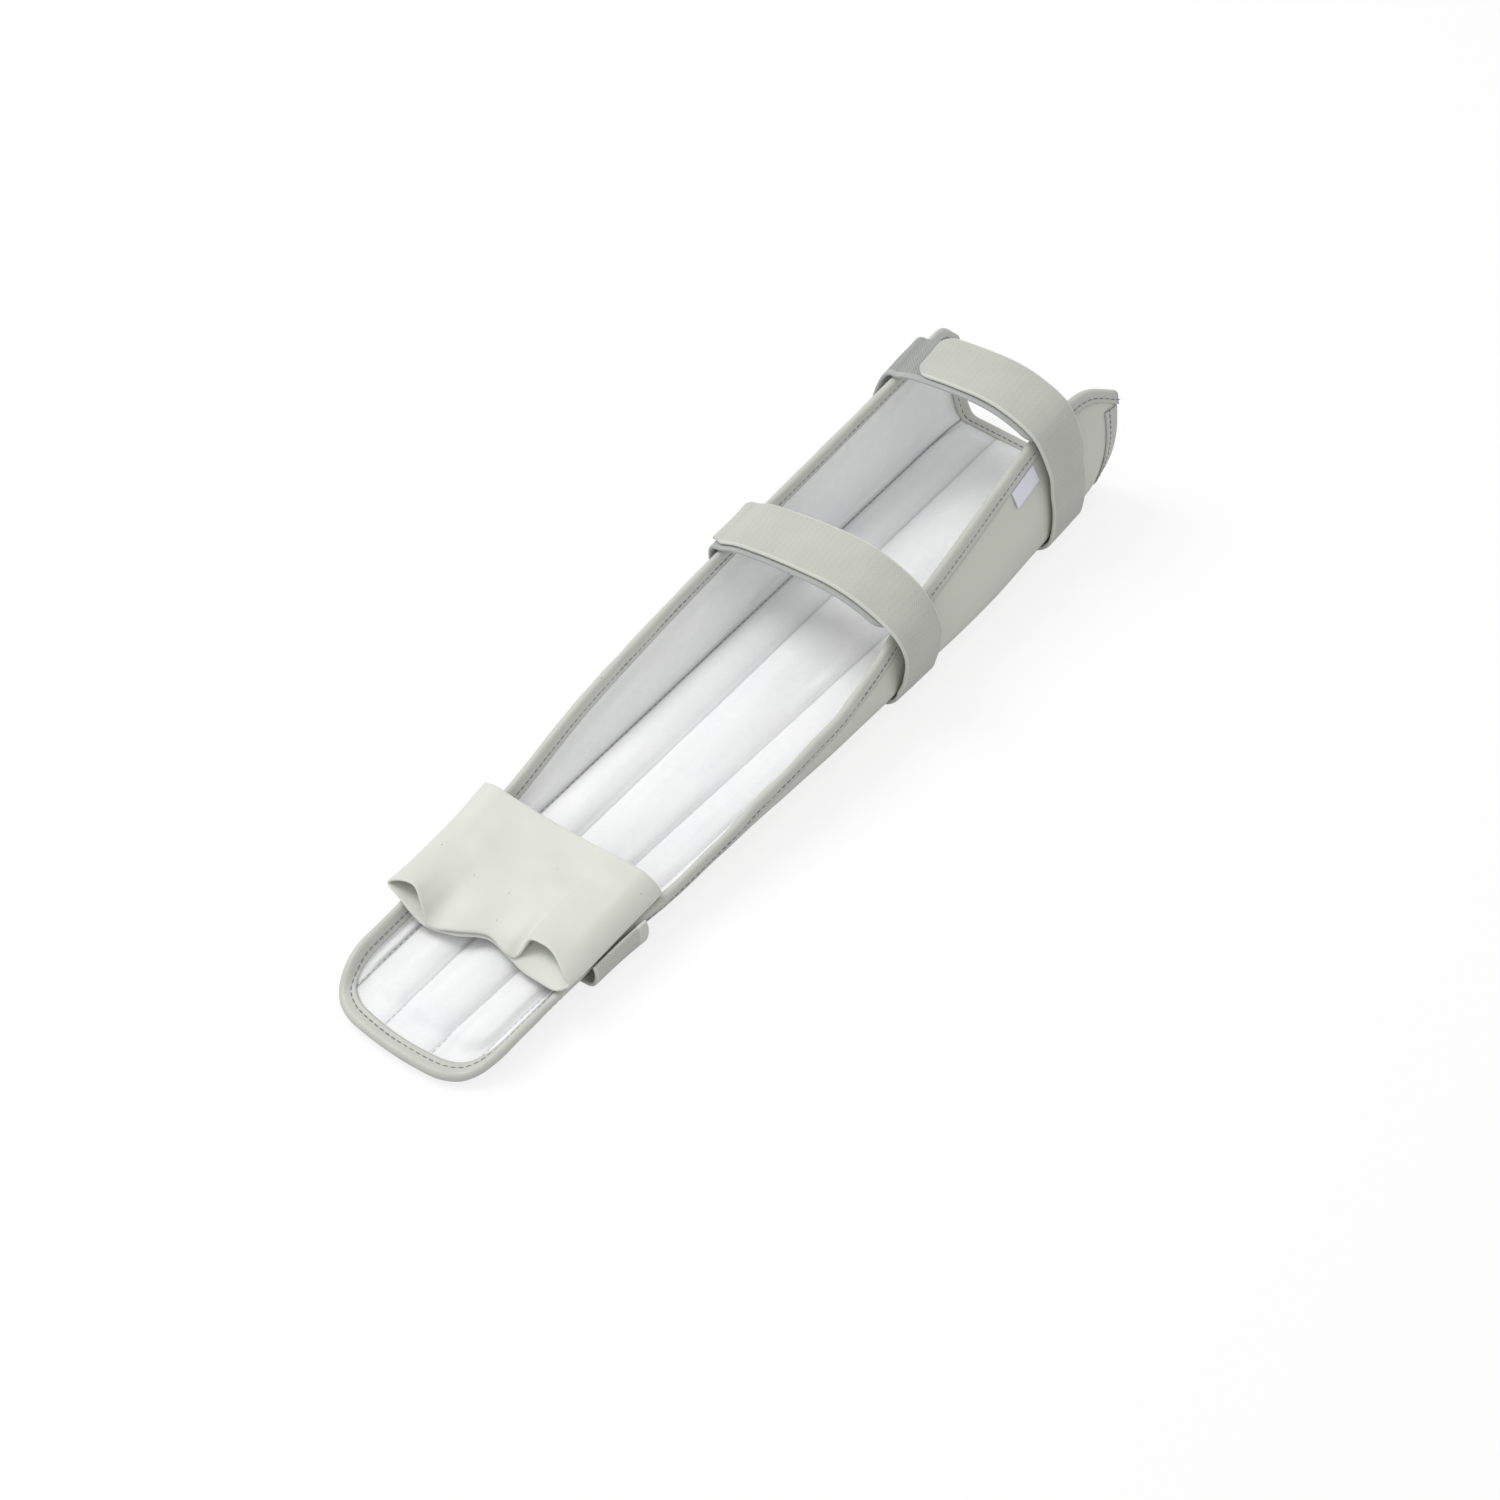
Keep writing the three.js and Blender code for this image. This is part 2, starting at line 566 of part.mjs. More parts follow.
for (const strapPlace of STRAP_PLACES) {
  const { name, x, hookEnd, loopEnd } = strapPlace;
  const rings = [-1, 1].map((edge) => strapRing(x + (edge * STRAP_WIDTH) / 2, strapPlace));
  const shares = ringShares(rings[0].getLength(), [hookEnd, loopEnd]);
  const flat = () => 0;
  const climb = (share) => {
    return LAP * THREE.MathUtils.smoothstep(share, hookEnd - 2 * LAP_LENGTH, hookEnd - LAP_LENGTH);
  };
  const split = GAP / 2 / rings[0].getLength();
  const hook = strap({ rings, shares }, hookEnd, 1 - split, -HOOK_SHIFT, flat, hookEnd);
  const loop = strap({ rings, shares }, split, loopEnd, 0, climb, loopEnd);
  addPiece(`${name}_hook_strap`, hook, HOOK_TAPE, 0.9);
  addPiece(`${name}_loop_strap`, loop, WEBBING, 0.85);
}

// Wrist flap: a sleeve that lies flat across both rims, with an open fold at each side
const FLAP_SECTIONS = 5;
const FLAP_POINTS = 48;

// Height of the binding's highest corner at x.
function rimTop(x, side) {
  const { reach } = wallAt(x, side);
  return Math.max(place(x, side * reach, BINDING_TOP).z, place(x, side * reach, 0).z);
}

function flapLoop(share) {
  const loop = FLAP_LOOP.map((row) => {
    const x = FLAP_START + FLAP_WIDTH * THREE.MathUtils.lerp(row.start, 1, share);
    const side = Math.sign(row.across) || 1;
    const rimY = Math.abs(place(x, side * wallAt(x, side).reach, 0).y);
    const leftTop = rimTop(x, 1);
    const rightTop = rimTop(x, -1);
    const across = row.across * (side < 0 ? 1 - FLAP_TAPER * share ** 2 : 1);
    const seat = THREE.MathUtils.lerp(rightTop, leftTop, (across + 1) / 2);
    const fade = 1 - (1 - share) ** FLAP_FADE;
    const loft = THREE.MathUtils.lerp(row.front, row.back, fade) * FLAP_LOFT;
    return new THREE.Vector3(x, across * rimY, seat + loft + FLAP_WALL / 2);
  });
  return new THREE.CatmullRomCurve3(loop, true, "centripetal");
}

function flapSolid() {
  const levels = { inner: [], outer: [] };
  for (let i = 0; i <= FLAP_SECTIONS; i += 1) {
    const curve = flapLoop(i / FLAP_SECTIONS);
    const rows = { inner: [], outer: [] };
    for (let k = 0; k < FLAP_POINTS; k += 1) {
      const point = curve.getPoint(k / FLAP_POINTS);
      const along = curve.getTangent(k / FLAP_POINTS);
      const outward = new THREE.Vector3(0, -along.z, along.y).normalize();
      rows.outer.push(point.clone().addScaledVector(outward, FLAP_WALL / 2));
      rows.inner.push(point.clone().addScaledVector(outward, -FLAP_WALL / 2));
    }
    levels.outer.push(rows.outer);
    levels.inner.push(rows.inner);
  }
  return wallSolid(levels.outer, levels.inner, true);
}

addPiece("wrist_flap", flapSolid(), COATED_CLOTH, 0.5);

// Wrist tab: webbing that hangs from under the flap's right fold and turns in under the floor
const TAB_STEPS = 16;

// The tab's inner face below the flap. out: share of the rim's distance from the centre line.
// up: share of the rim's height.
const TAB_HANG = [
  { out: 0.9, up: 0.14 },
  { out: 1.02, up: 0.24 },
  { out: 1.075, up: 0.65 },
  { out: 1.07, up: 0.95 },
  { out: 1.05, up: 1.08 },
];

function tabCurve(x) {
  const wall = wallAt(x, -1);
  const rim = place(x, -wall.reach, 0);
  const rimZ = rimTop(x, -1);
  const under = [TAB_RUN, TAB_RUN / 2, 0].map((run) => {
    return new THREE.Vector3(x, run - wall.floor, WEBBING_WALL);
  });
  const hang = TAB_HANG.map(({ out, up }) => new THREE.Vector3(x, out * rim.y, up * rimZ));
  return new THREE.CatmullRomCurve3([...under, ...hang], false, "centripetal");
}

function tabSolid() {
  const levels = { inner: [], outer: [] };
  for (let i = 0; i <= TAB_STEPS; i += 1) {
    const row = [0, 0.5, 1].map((edge) => faceAt(tabCurve(TAB_START + edge * TAB_WIDTH), i / TAB_STEPS));
    levels.inner.push(row.map(({ point }) => point));
    levels.outer.push(row.map((face) => aboveTable(offFace(face, WEBBING_WALL))));
  }
  return wallSolid(levels.outer, levels.inner);
}

addPiece("wrist_tab", tabSolid(), WEBBING, 0.85);

// Blank label, sewn to the outside of the right wall under the binding
function labelSolid() {
  const end = ELBOW_STRAP_X - STRAP_WIDTH / 2 - HOOK_SHIFT - LABEL_GAP;
  const level = (depth) =>
    [0, 0.5, 1].map((along) => {
      const x = end - LABEL_LENGTH * (1 - along);
      const top = wallAt(x, -1).reach - BINDING_REACH;
      return [0, 0.5, 1].map((down) => place(x, LABEL_WIDTH * down - top, depth));
    });
  return wallSolid(level(-GAP), level(-GAP - LABEL_WALL));
}

addPiece("label", labelSolid(), LABEL_CLOTH, 0.7);

// The origin is at the middle of the board's footprint, on the surface that it lies on.
const bounds = new THREE.Box3().setFromObject(board);
board.position.set(-(bounds.min.x + bounds.max.x) / 2, -(bounds.min.y + bounds.max.y) / 2, -bounds.min.z);
board.updateMatrixWorld(true);

export default board;
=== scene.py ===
import json

import bpy
import numpy as np
from mathutils import Matrix, Vector

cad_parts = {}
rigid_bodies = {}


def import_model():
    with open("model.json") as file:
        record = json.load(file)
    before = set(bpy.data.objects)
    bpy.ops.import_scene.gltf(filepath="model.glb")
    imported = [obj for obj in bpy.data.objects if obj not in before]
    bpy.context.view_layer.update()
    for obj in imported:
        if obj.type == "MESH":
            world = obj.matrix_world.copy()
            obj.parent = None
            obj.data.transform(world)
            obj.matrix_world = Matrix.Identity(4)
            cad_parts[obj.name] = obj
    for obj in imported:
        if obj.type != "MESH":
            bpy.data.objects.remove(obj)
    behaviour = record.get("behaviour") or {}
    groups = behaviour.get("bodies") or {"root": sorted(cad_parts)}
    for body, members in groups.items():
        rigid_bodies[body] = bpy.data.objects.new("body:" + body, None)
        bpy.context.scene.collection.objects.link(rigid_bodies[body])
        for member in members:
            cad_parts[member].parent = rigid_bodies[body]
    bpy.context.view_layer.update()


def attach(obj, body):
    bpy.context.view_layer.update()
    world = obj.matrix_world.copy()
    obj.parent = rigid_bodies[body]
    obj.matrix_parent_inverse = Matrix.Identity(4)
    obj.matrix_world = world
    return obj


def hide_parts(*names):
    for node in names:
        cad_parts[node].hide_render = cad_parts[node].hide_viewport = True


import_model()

# Outer shell: one tapered pattern of light coated cloth, folded up into a trough.
# A place on the pattern is x from the hand end, s across the cloth from the centre line (left is
# positive) and depth in from the shell's outer face, all in millimetres.
MM = 0.001
BOARD_LENGTH = 418.0
LEFT_FLOOR, RIGHT_FLOOR = 28.7, 38.8
LEFT_REACH, RIGHT_REACH = 95.0, 105.0
LEFT_BEND, RIGHT_BEND = 8.0, 12.0
HAND_BOW, HAND_CORNER = 6.0, 24.0
HAND_END = HAND_BOW + HAND_CORNER
FLOOR_Z = 2.0
GAP = 0.3
TAPE_GAP = 0.6
SHELL_WALL = 1.0
BINDING_WIDTH, BINDING_WALL = 7.0, 0.7
BINDING_REACH = BINDING_WIDTH + GAP
EDGE_INSET = BINDING_WALL + TAPE_GAP
CLOTH_END = BOARD_LENGTH - EDGE_INSET
STRAIGHT_ROW = 0.08
ARC_STEPS = 36
BUCKLE_IN, BUCKLE_OUT, BUCKLE_DEPTH = (109, 147), (212, 247), 0.4
CENTRE = np.array([-BOARD_LENGTH / 2, 3.0958138, 0.0])

# Columns: share of the length, floor, reach, turn, curl and flare of a wall.
LEFT_WALL = np.array([
    (0.0, 1.0, 0.445, 50, 8, 0),
    (0.139, 1.0, 0.46, 47, 10, 0),
    (0.282, 1.0, 0.52, 58, 10, 0),
    (0.402, 1.0, 0.635, 69, 10, 0),
    (0.522, 1.0, 0.697, 71, 10, 0),
    (0.641, 1.0, 0.763, 76, 10, 0),
    (0.761, 1.0, 0.857, 83, 10, 0),
    (0.904, 1.0, 0.97, 88, 10, 0),
    (0.94, 0.98, 0.975, 87, 8, 0),
    (0.972, 0.91, 0.907, 76, 20, -2),
    (1.0, 0.76, 0.752, 58, 40, -6),
])
RIGHT_WALL = np.array([
    (0.0, 0.7, 0.405, 65, 5, 0),
    (0.139, 0.7, 0.415, 63, 4, 0),
    (0.209, 0.72, 0.44, 76, 6, 0),
    (0.282, 0.8, 0.5, 76, 6, 0),
    (0.402, 0.87, 0.595, 80, 8, 0),
    (0.522, 0.94, 0.69, 84, 11, 0),
    (0.581, 0.957, 0.74, 86, 23, 0),
    (0.641, 0.97, 0.8, 88, 37, 0),
    (0.761, 1.0, 0.915, 88, 44, 0),
    (0.904, 0.935, 0.995, 88, 38, 0),
    (0.94, 0.925, 1.0, 88, 35, 0),
    (0.972, 0.87, 0.977, 80, 39, 0),
    (1.0, 0.8, 0.903, 68, 38, 0),
])


def station(table, column, x):
    """A wall table's column at x, on a smooth line through its rows."""
    at = np.clip(np.asarray(x, float) / BOARD_LENGTH, 0, 1)
    stops, values = table[:, 0], table[:, column]
    i = np.searchsorted(stops[1:-1], at, side="left")
    before, after = np.maximum(i - 1, 0), np.minimum(i + 2, len(stops) - 1)
    span = stops[i + 1] - stops[i]
    slope_a = (values[i + 1] - values[before]) / (stops[i + 1] - stops[before]) * span
    slope_b = (values[after] - values[i]) / (stops[after] - stops[i]) * span
    t = (at - stops[i]) / span
    rise = values[i + 1] - values[i]
    bow = 3 * rise - 2 * slope_a - slope_b + t * (slope_a + slope_b - 2 * rise)
    return values[i] + t * (slope_a + t * bow)


def side_of(s):
    return np.where(np.asarray(s) < 0, -1.0, 1.0)


def wall_at(x, side):
    """Floor, foot, reach, turn, curl, flare and bend of the wall on that side at x."""
    left = np.asarray(side) > 0
    tables = [(station(LEFT_WALL, c, x), station(RIGHT_WALL, c, x)) for c in range(1, 6)]
    row = [np.where(left, on_left, on_right) for on_left, on_right in tables]
    floor = row[0] * np.where(left, LEFT_FLOOR, RIGHT_FLOOR)
    reach = row[1] * np.where(left, LEFT_REACH, RIGHT_REACH)
    turn, curl, flare = (np.radians(a) for a in row[2:])
    bend = np.where(left, LEFT_BEND, RIGHT_BEND)
    return {"floor": floor, "foot": floor + bend * turn, "reach": reach,
            "turn": turn, "curl": curl, "flare": flare, "bend": bend}


def heading(wall, s):
    """Angle of the cloth from level, at s across a wall."""
    up = np.clip((s - wall["foot"]) / (wall["reach"] - wall["foot"]), 0, 1)
    above = wall["turn"] + wall["curl"] * up + wall["flare"] * up ** 2
    turning = np.where(s < wall["foot"], (s - wall["floor"]) / wall["bend"], above)
    return np.where(s <= wall["floor"], 0, turning)


def smooth(a, b, v):
    t = np.clip((v - a) / (b - a), 0, 1)
    return t * t * (3 - 2 * t)


def soft_noise(u, v, cell_u, cell_v, seed):
    """Smooth noise from -1 to 1 on a lattice of cell_u by cell_v."""
    values = np.random.default_rng(seed).uniform(-1, 1, (257, 257))
    p, q = np.asarray(u, float) / cell_u + 57.3, np.asarray(v, float) / cell_v + 91.7
    i, j = np.floor(p).astype(int), np.floor(q).astype(int)
    fu, fv = p - i, q - j
    fu, fv = fu * fu * (3 - 2 * fu), fv * fv * (3 - 2 * fv)
    i, j = i % 256, j % 256
    low = values[i, j] * (1 - fu) + values[i + 1, j] * fu
    high = values[i, j + 1] * (1 - fu) + values[i + 1, j + 1] * fu
    return low * (1 - fv) + high * fv


def ripple(x, s):
    """How far the right wall's loose top buckles, which shell, lining and binding share."""
    wall = wall_at(x, side_of(s))
    up = np.clip((np.abs(s) - wall["floor"]) / (wall["reach"] - wall["floor"]), 0, 1)
    slack = smooth(*BUCKLE_IN, x) * (1 - smooth(*BUCKLE_OUT, x)) * (s < 0)
    waves = np.sin(x / 5.1 + 0.6 * np.sin(x / 17.0)) * 0.55 + soft_noise(x, s, 13, 60, 3) * 0.9
    return BUCKLE_DEPTH * slack * up ** 2 * waves


def place(x, s, depth, buckle=True):
    """Points at x, s and depth, in metres in the board's frame."""
    x, s, depth = np.broadcast_arrays(*(np.asarray(v, float) for v in (x, s, depth)))
    side = side_of(s)
    wall = wall_at(x, side)
    run = np.abs(s)
    flat = np.minimum(run, wall["floor"])
    y, z = flat.copy(), np.full(flat.shape, FLOOR_Z)
    step = (run - flat) / ARC_STEPS
    for i in range(ARC_STEPS):
        angle = heading(wall, flat + (i + 0.5) * step)
        y += step * np.cos(angle)
        z += step * np.sin(angle)
    lean = heading(wall, run)
    if buckle:
        depth = depth + ripple(x, s)
    points = np.stack([x, side * (y - depth * np.sin(lean)), z + depth * np.cos(lean)], -1)
    return (points + CENTRE) * MM


def hand_x(s, inset):
    """x of the bowed hand end and its rounded corners, moved in by inset."""
    edge = wall_at(HAND_END, side_of(s))["reach"] - inset
    radius = HAND_CORNER - inset
    over = np.clip(np.abs(s) - (edge - radius), 0, radius)
    return inset + HAND_BOW * (s / edge) ** 2 + radius - np.sqrt(radius ** 2 - over ** 2)


def spread(knots, counts):
    """Places between named knots, of which each is an array over x."""
    columns = [knots[0]]
    for a, b, count in zip(knots, knots[1:], counts):
        columns += [a + (b - a) * k / count for k in range(1, count + 1)]
    return np.stack(columns, -1)


def wall_knots(x, side):
    wall = wall_at(x, side)
    tape_edge = wall["reach"] - BINDING_REACH
    half_way = (wall["floor"] + tape_edge) / 2 + BINDING_REACH / 2
    foot = np.minimum(np.minimum(wall["foot"], half_way), tape_edge - GAP)
    return [side * foot, side * tape_edge, side * (wall["reach"] - EDGE_INSET)]


def cloth_grid(across, shares):
    """x and s of a sheet's rows, which follow the rounded hand end and then run straight."""
    start = hand_x(across(np.array([HAND_END]))[0], EDGE_INSET)
    bent = start[None, :] * np.maximum(1 - shares[:, None] / STRAIGHT_ROW, 0)
    x = bent + shares[:, None] * CLOTH_END
    s = np.empty_like(x)
    for c in range(x.shape[1]):
        s[:, c] = across(np.maximum(x[:, c], HAND_END))[:, c]
    return x, s


def row_shares(length_step):
    return np.linspace(0, 1, int(CLOTH_END / length_step) + 1)


def add_object(name, data):
    item = bpy.data.objects.new(name, data)
    bpy.context.scene.collection.objects.link(item)
    return item


def sheet_mesh(name, outer, inner, material, uv=None, ring=False):
    """A closed cloth solid between two grids of points. uv is in metres, along and across."""
    rows, columns = outer.shape[:2]
    points = np.concatenate([outer.reshape(-1, 3), inner.reshape(-1, 3)])
    node = np.arange(rows * columns).reshape(rows, columns)
    wrap = np.concatenate([node, node[:, :1]], 1) if ring else node
    top = np.stack([wrap[:-1, :-1], wrap[1:, :-1], wrap[1:, 1:], wrap[:-1, 1:]], -1)
    top = top.reshape(-1, 4)
    far = rows * columns
    faces = [top, top[:, ::-1] + far]
    edges = [wrap[0], wrap[-1][::-1]] + ([] if ring else [node[::-1, 0], node[:, -1]])
    for edge in edges:
        faces.append(np.stack([edge[:-1], edge[1:], edge[1:] + far, edge[:-1] + far], -1))
    faces = np.concatenate(faces)
    a, b, c, d = (points[faces] - points.mean(0)).transpose(1, 0, 2)
    volume = np.sum(np.cross(a, b) * c) + np.sum(np.cross(a, c) * d)
    if volume < 0:
        faces = faces[:, ::-1]
    mesh = bpy.data.meshes.new(name)
    mesh.from_pydata(points.tolist(), [], faces.tolist())
    if uv is not None:
        flat = np.concatenate([uv.reshape(-1, 2)] * 2)[faces.reshape(-1)]
        mesh.uv_layers.new(name="cloth").data.foreach_set("uv", flat.ravel())
    mesh.shade_smooth()
    mesh.materials.append(material)
    return add_object(name, mesh)


def srgb(*levels):
    """A linear colour from screen levels of 0 to 255."""
    shares = [level / 255 for level in levels]
    linear = (v / 12.92 if v <= 0.04045 else ((v + 0.055) / 1.055) ** 2.4 for v in shares)
    return (*linear, 1.0)


def tinted(colour, factor):
    return (*(min(c * factor, 1) for c in colour[:3]), 1)


class Nodes:
    """A material's node tree, and the few steps that its patterns share."""

    def __init__(self, name, roughness, sheen=0.0, specular=0.5):
        self.material = bpy.data.materials.new(name)
        self.material.use_nodes = True
        self.tree = self.material.node_tree
        self.shader = self.tree.nodes["Principled BSDF"]
        self.shader.inputs["Roughness"].default_value = roughness
        self.shader.inputs["Sheen Weight"].default_value = sheen
        self.shader.inputs["Sheen Roughness"].default_value = 0.45
        self.shader.inputs["Specular IOR Level"].default_value = specular

    def add(self, kind, **inputs):
        node = self.tree.nodes.new(kind)
        for key, value in inputs.items():
            self.put(node, key, value)
        return node

    def put(self, node, key, value):
        socket = node.inputs[key] if isinstance(key, int) else node.inputs[key.replace("_", " ")]
        if isinstance(value, bpy.types.NodeSocket):
            self.tree.links.new(value, socket)
        else:
            socket.default_value = value

    def math(self, operation, a, b=0.0, c=0.0):
        node = self.tree.nodes.new("ShaderNodeMath")
        node.operation = operation
        for i, value in enumerate((a, b, c)):
            self.put(node, i, value)
        return node.outputs[0]

    def objects(self):
        return self.add("ShaderNodeTexCoord").outputs["Object"]

    def cloth(self):
        node = self.tree.nodes.new("ShaderNodeUVMap")
        node.uv_map = "cloth"
        return node.outputs["UV"]

    def noise(self, at, scale, detail=2.0, roughness=0.5):
        inputs = {"Vector": at, "Scale": scale, "Detail": detail, "Roughness": roughness}
        return self.add("ShaderNodeTexNoise", **inputs).outputs["Fac"]

    def ramp(self, factor, low, high, colour_low, colour_high):
        node = self.add("ShaderNodeValToRGB", Fac=factor)
        stops = ((low, colour_low), (high, colour_high))
        for element, stop in zip(node.color_ramp.elements, stops):
            element.position, element.color = stop
        return node.outputs["Color"]

    def mix(self, factor, a, b, blend="MIX"):
        node = self.tree.nodes.new("ShaderNodeMix")
        node.data_type, node.blend_type = "RGBA", blend
        for colour_socket, value in ((0, factor), (6, a), (7, b)):
            self.put(node, colour_socket, value)
        return node.outputs[2]

    def finish(self, colour, height, distance, strength=1.0, roughness=None):
        self.put(self.shader, "Base Color", colour)
        if roughness is not None:
            self.put(self.shader, "Roughness", roughness)
        bump = self.add("ShaderNodeBump", Strength=strength, Distance=distance, Height=height)
        self.put(self.shader, "Normal", bump.outputs["Normal"])
        return self.material


WHITE, SPECK = (1, 1, 1, 1), (0.62, 0.6, 0.57, 1)


def coated_cloth(name, colour, fold):
    """Light coated cloth: a fine grain, faint mottling and a few tiny specks.
    fold is the strength of its soft creases."""
    n = Nodes(name, 0.42, sheen=0.05, specular=0.42)
    at = n.objects()
    mottle = n.noise(at, scale=28, detail=3)
    grain = n.noise(at, scale=1500, detail=2, roughness=0.6)
    specks = n.noise(at, scale=420, detail=1)
    creases = n.noise(at, scale=70, detail=4, roughness=0.6)
    shade = n.ramp(mottle, 0.3, 0.7, tinted(colour, 0.965), tinted(colour, 1.02))
    dots = n.ramp(specks, 0.19, 0.215, SPECK, WHITE)
    height = n.math("ADD", n.math("MULTIPLY", grain, 0.12), n.math("MULTIPLY", creases, fold))
    gloss = n.math("MULTIPLY_ADD", mottle, 0.16, 0.34)
    speckled = n.mix(1.0, shade, dots, "MULTIPLY")
    return n.finish(speckled, height, distance=0.0006, strength=0.6, roughness=gloss)


SHELL_COUNTS, SHELL_ROW = [4, 22, 9, 20, 6, 18, 4], 2.4
DIMPLE_DEPTH, SHELL_SETTLE = 0.28, 0.05
coated = coated_cloth("coated_cloth", srgb(213, 214, 205), fold=0.6)


def shell_across(x):
    floors = [-wall_at(x, -1)["floor"], wall_at(x, 1)["floor"]]
    return spread([*wall_knots(x, -1)[::-1], *floors, *wall_knots(x, 1)], SHELL_COUNTS)


shell_x, shell_s = cloth_grid(shell_across, row_shares(SHELL_ROW))
shell_wall = wall_at(shell_x, side_of(shell_s))
from_rim = shell_wall["reach"] - np.abs(shell_s)
shell_free = smooth(BINDING_REACH, BINDING_REACH + 8, from_rim) * smooth(9, 22, shell_x)
shell_free *= 1 - smooth(395, 408, shell_x)
shell_free *= np.abs(shell_s) > shell_wall["floor"]
dimple = DIMPLE_DEPTH * (soft_noise(shell_x, shell_s, 26, 15, 11) - 1) * shell_free
shell = sheet_mesh(
    "shell_cloth",
    place(shell_x, shell_s, -dimple * 0.9 - SHELL_SETTLE),
    place(shell_x, shell_s, SHELL_WALL),
    coated,
    np.stack([shell_x, shell_s], -1) * MM,
)
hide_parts("outer_shell")
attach(shell, "root")

# Padded lining: soft white brushed cloth over thin foam, quilted with lengthways seams.
# The channels are blown up as cloth between their seams, then the seams are drawn in and each
# stitch dimples the cloth.
PAD_BOTTOM, PAD_EDGE, PAD_SEAM, PAD_RISE = 1.4, 0.8, 1.5, 7.0
BAG_PUFF, QUICK_PUFF, FULL_PUFF, MOST_SWELL = 1.6, 2.6, 2.3, 2.2
BAG_ROW, PAD_ROW, SMOOTHINGS = 4.4, 1.7, 60
SEAM_PULL, SEAM_WIDTH, PUCKER_WIDTH = (0.7, 0.7, 0.8, 1.8), 0.9, 5
QUILT_PITCH, SCALLOP_PITCH = 3.1, 7.0
# Three seams by side and share of the floor at the hand and elbow ends. The left foot is a fourth.
SEAMS = ((-1, 0.78, 1.15), (-1, 0.343, 0.73), (1, 0.29, 0.29))
PAD_FINE = [4, 24, 9, 20, 22, 12, 7, 22, 4]
PAD_COARSE = [2, 10, 4, 8, 9, 5, 3, 9, 2]
SEAM_COLUMN_KNOTS = [3, 4, 5, 6]
CLOTH_STEPS = 20


def floor_edge(side):
    return side * (RIGHT_FLOOR if side < 0 else LEFT_FLOOR)


def seams_at(x):
    rows = [floor_edge(side) * (hand + (elbow - hand) * x / BOARD_LENGTH)
            for side, hand, elbow in SEAMS]
    return [*rows, wall_at(x, 1)["floor"]]


def pad_across(x, counts):
    return spread([*wall_knots(x, -1)[::-1], *seams_at(x), *wall_knots(x, 1)], counts)


def from_edge(x, s):
    """Distance in from the nearest edge of the cloth."""
    wall = wall_at(np.maximum(x, HAND_END), side_of(s))
    past_side = np.maximum(np.abs(s) - (wall["reach"] - HAND_CORNER), 0)
    to_corner = np.hypot(np.maximum(HAND_END - x, 0), past_side)
    inside = np.minimum(np.minimum(wall["reach"] - np.abs(s), x), BOARD_LENGTH - x)
    return np.where(x < HAND_END, np.minimum(inside, HAND_CORNER - to_corner), inside)


def pad_top(x, s, puff):
    """Depth of the lining's face, swollen by puff between its seams."""
    lines = [-wall_at(x, -1)["reach"], *seams_at(x), wall_at(x, 1)["reach"]]
    swell = np.zeros_like(x)
    for a, b in zip(lines, lines[1:]):
        share = np.clip((s - a) / (b - a), 0, 1)
        swell = np.maximum(swell, np.sin(np.pi * share) ** 0.7 * ((s >= a) & (s <= b)))
    rise = smooth(0, PAD_RISE, from_edge(x, s) - BINDING_REACH - EDGE_INSET)
    return PAD_BOTTOM + PAD_EDGE + (PAD_SEAM + puff * swell - PAD_EDGE) * rise


coarse_shares = row_shares(BAG_ROW)
coarse_x, coarse_s = cloth_grid(lambda x: pad_across(x, PAD_COARSE), coarse_shares)
coarse_rest = place(coarse_x, coarse_s, pad_top(coarse_x, coarse_s, BAG_PUFF), buckle=False)
swelling = np.zeros_like(coarse_rest)
coarse_back = place(coarse_x, coarse_s, PAD_BOTTOM, buckle=False)
bag = sheet_mesh("pad_bag", coarse_rest, coarse_back, coated)
held = np.zeros(coarse_x.shape, bool)
held[:, np.cumsum([0] + PAD_COARSE)[SEAM_COLUMN_KNOTS]] = True
held |= from_edge(coarse_x, coarse_s) < BINDING_REACH + 1.5
held = np.concatenate([held.ravel(), np.ones(held.size, bool)])
pins = bag.vertex_groups.new(name="sewn")
pins.add(np.flatnonzero(held).tolist(), 1.0, "REPLACE")
cloth = bag.modifiers.new("blow_up", "CLOTH")
cloth.settings.vertex_group_mass = "sewn"
cloth.settings.use_pressure = True
cloth.settings.uniform_pressure_force = 4.0
cloth.settings.quality = 6
cloth.settings.mass = 0.2
cloth.settings.shrink_min = -0.05
cloth.settings.shrink_max = -0.05
cloth.settings.tension_stiffness = cloth.settings.compression_stiffness = 12
cloth.settings.bending_stiffness = 0.06
cloth.settings.effector_weights.gravity = 0
cloth.collision_settings.use_collision = False
cloth.point_cache.frame_start, cloth.point_cache.frame_end = 1, CLOTH_STEPS
for frame_number in range(1, CLOTH_STEPS + 1):
    bpy.context.scene.frame_set(frame_number)
blown = bag.evaluated_get(bpy.context.evaluated_depsgraph_get())
moved = np.empty(len(blown.data.vertices) * 3)
blown.data.vertices.foreach_get("co", moved)
swelling = moved[: coarse_rest.size].reshape(coarse_rest.shape) - coarse_rest
length = np.linalg.norm(swelling, axis=-1, keepdims=True)
swelling *= np.minimum(1, MOST_SWELL * MM / np.maximum(length, 1e-9))
bpy.data.objects.remove(bag)
bpy.context.scene.frame_set(1)


def knot_places(counts):
    return np.concatenate([[0]] + [k + np.arange(1, c + 1) / c for k, c in enumerate(counts)])


